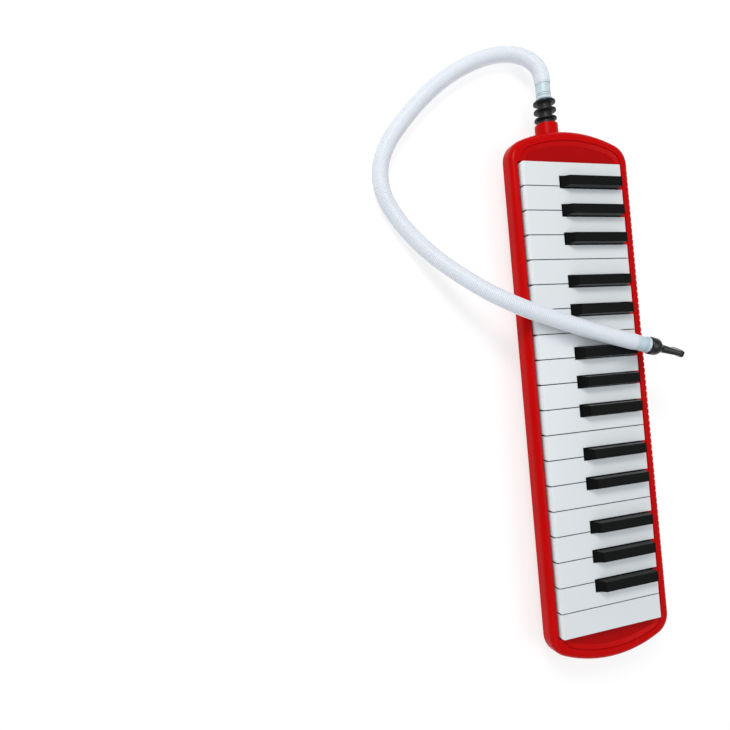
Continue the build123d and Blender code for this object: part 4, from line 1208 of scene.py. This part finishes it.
# ---------------------------------------------------------------- studio
@dataclass(frozen=True)
class SoftBox:
    """A square studio light."""

    name: str
    place: Point
    aim: Point
    size: float
    power: float
    tint: RGB = (1.0, 1.0, 1.0)

    def build(self) -> None:
        """Hangs the light and points it."""
        light = bpy.data.lights.new(self.name, "AREA")
        light.shape = "SQUARE"
        light.size = self.size
        light.energy = self.power
        light.color = self.tint
        holder = bpy.data.objects.new(self.name, light)
        holder.location = self.place
        sight = Vector(self.aim) - Vector(self.place)
        holder.rotation_euler = sight.to_track_quat("-Z", "Y").to_euler()
        bpy.context.collection.objects.link(holder)


@dataclass(frozen=True)
class Studio:
    """The floor, the lights and the camera."""

    camera_place: Point = (-0.0227, -0.3163, 0.4351)
    look: Point = (-0.0258, 0.3017, -0.9531)
    picture_right: Point = (0.0796, 0.9510, 0.2989)
    lens: float = 29.59
    floor_half: float = 4.0
    floor_gap: float = 0.0001    # keeps the floor off the flat underside
    floor_colour: RGB = (0.34, 0.34, 0.34)
    floor_glow: float = 0.70
    sky: RGB = (0.93, 0.97, 1.0)
    sky_strength: float = 0.42
    lights: tuple[SoftBox, ...] = (
        SoftBox("key_light", (-0.85, -0.55, 0.95), (0.0, 0.0, 0.02), 0.45, 9.0, (1.0, 0.985, 0.96)),
        SoftBox("top_light", (0.1, 0.35, 1.3), (0.0, 0.0, 0.0), 0.9, 5.0, (0.95, 0.98, 1.0)),
        SoftBox("side_light", (0.9, -0.5, 0.6), (0.0, 0.0, 0.0), 0.8, 2.0, (0.93, 0.97, 1.0)))

    def build(self) -> None:
        """Builds the whole studio."""
        self._floor()
        self._sky()
        for light in self.lights:
            light.build()
        self._camera()
        bpy.context.scene.view_settings.view_transform = "Standard"

    def _floor(self) -> None:
        """Lays the pale floor, which can be seen through from below."""
        half = self.floor_half
        corners = [Vector((x, y, -self.floor_gap)) for x, y in ((-half, -half), (half, -half),
                                                                (half, half), (-half, half))]
        floor = mesh_piece("studio_floor", corners, [(0, 1, 2, 3)])
        material, graph, surface = shader_material("studio_floor", {
            "Emission Color": opaque((1.0, 1.0, 1.0)), "Emission Strength": self.floor_glow,
            "Specular IOR Level": 0.1})
        place = graph.place()
        tone = graph.blend(graph.noise(place, 0.3), self.floor_colour,
                           tuple(0.99 * part for part in self.floor_colour))
        rough = graph.remap(graph.noise(place, 0.05), 0.3, 0.7, 0.75, 0.9)
        graph.join(surface, tone, rough)
        clear = graph.add("BsdfTransparent")
        behind = graph.add("NewGeometry").outputs["Backfacing"]
        either = graph.add("MixShader", {0: behind, 1: surface.outputs[0], 2: clear.outputs[0]})
        ending = graph.tree.nodes["Material Output"]
        graph.tree.links.new(either.outputs[0], ending.inputs["Surface"])
        floor.data.materials.append(material)

    def _sky(self) -> None:
        """Sets an even pale surround."""
        world = bpy.data.worlds.new("studio_sky")
        world.use_nodes = True
        surround = world.node_tree.nodes["Background"]
        surround.inputs["Color"].default_value = opaque(self.sky)
        surround.inputs["Strength"].default_value = self.sky_strength
        bpy.context.scene.world = world

    def _camera(self) -> None:
        """Sets up the camera, high over the player's side of the instrument."""
        camera = bpy.data.cameras.new("studio_camera")
        camera.lens = self.lens
        camera.sensor_width = 36.0
        camera.clip_start = 0.01
        camera.clip_end = 20.0
        holder = bpy.data.objects.new("studio_camera", camera)
        back = -Vector(self.look).normalized()
        right = Vector(self.picture_right)
        right = (right - back * right.dot(back)).normalized()
        up = back.cross(right)
        turned = Matrix((right, up, back)).transposed().to_4x4()
        holder.matrix_world = Matrix.Translation(Vector(self.camera_place)) @ turned
        bpy.context.collection.objects.link(holder)
        bpy.context.scene.camera = holder


def main() -> None:
    """Builds the studio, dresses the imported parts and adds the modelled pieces."""
    logging.basicConfig(level=logging.INFO, format="%(message)s")
    wardrobe = Wardrobe()
    Studio().build()
    log.info("keys dressed: %d", Keyboard().dress(wardrobe, frame["nodes"]))
    log.info("case parts dressed: %d", CaseAndWorks().dress(wardrobe, frame["nodes"]))
    pieces = HoseSet().build(wardrobe) + HandStrap().build(wardrobe) + [StopFelt().build(wardrobe)]
    for piece in pieces:
        log.info("piece %s: %d faces", piece.name, len(piece.data.polygons))


if __name__ == "__main__":
    main()
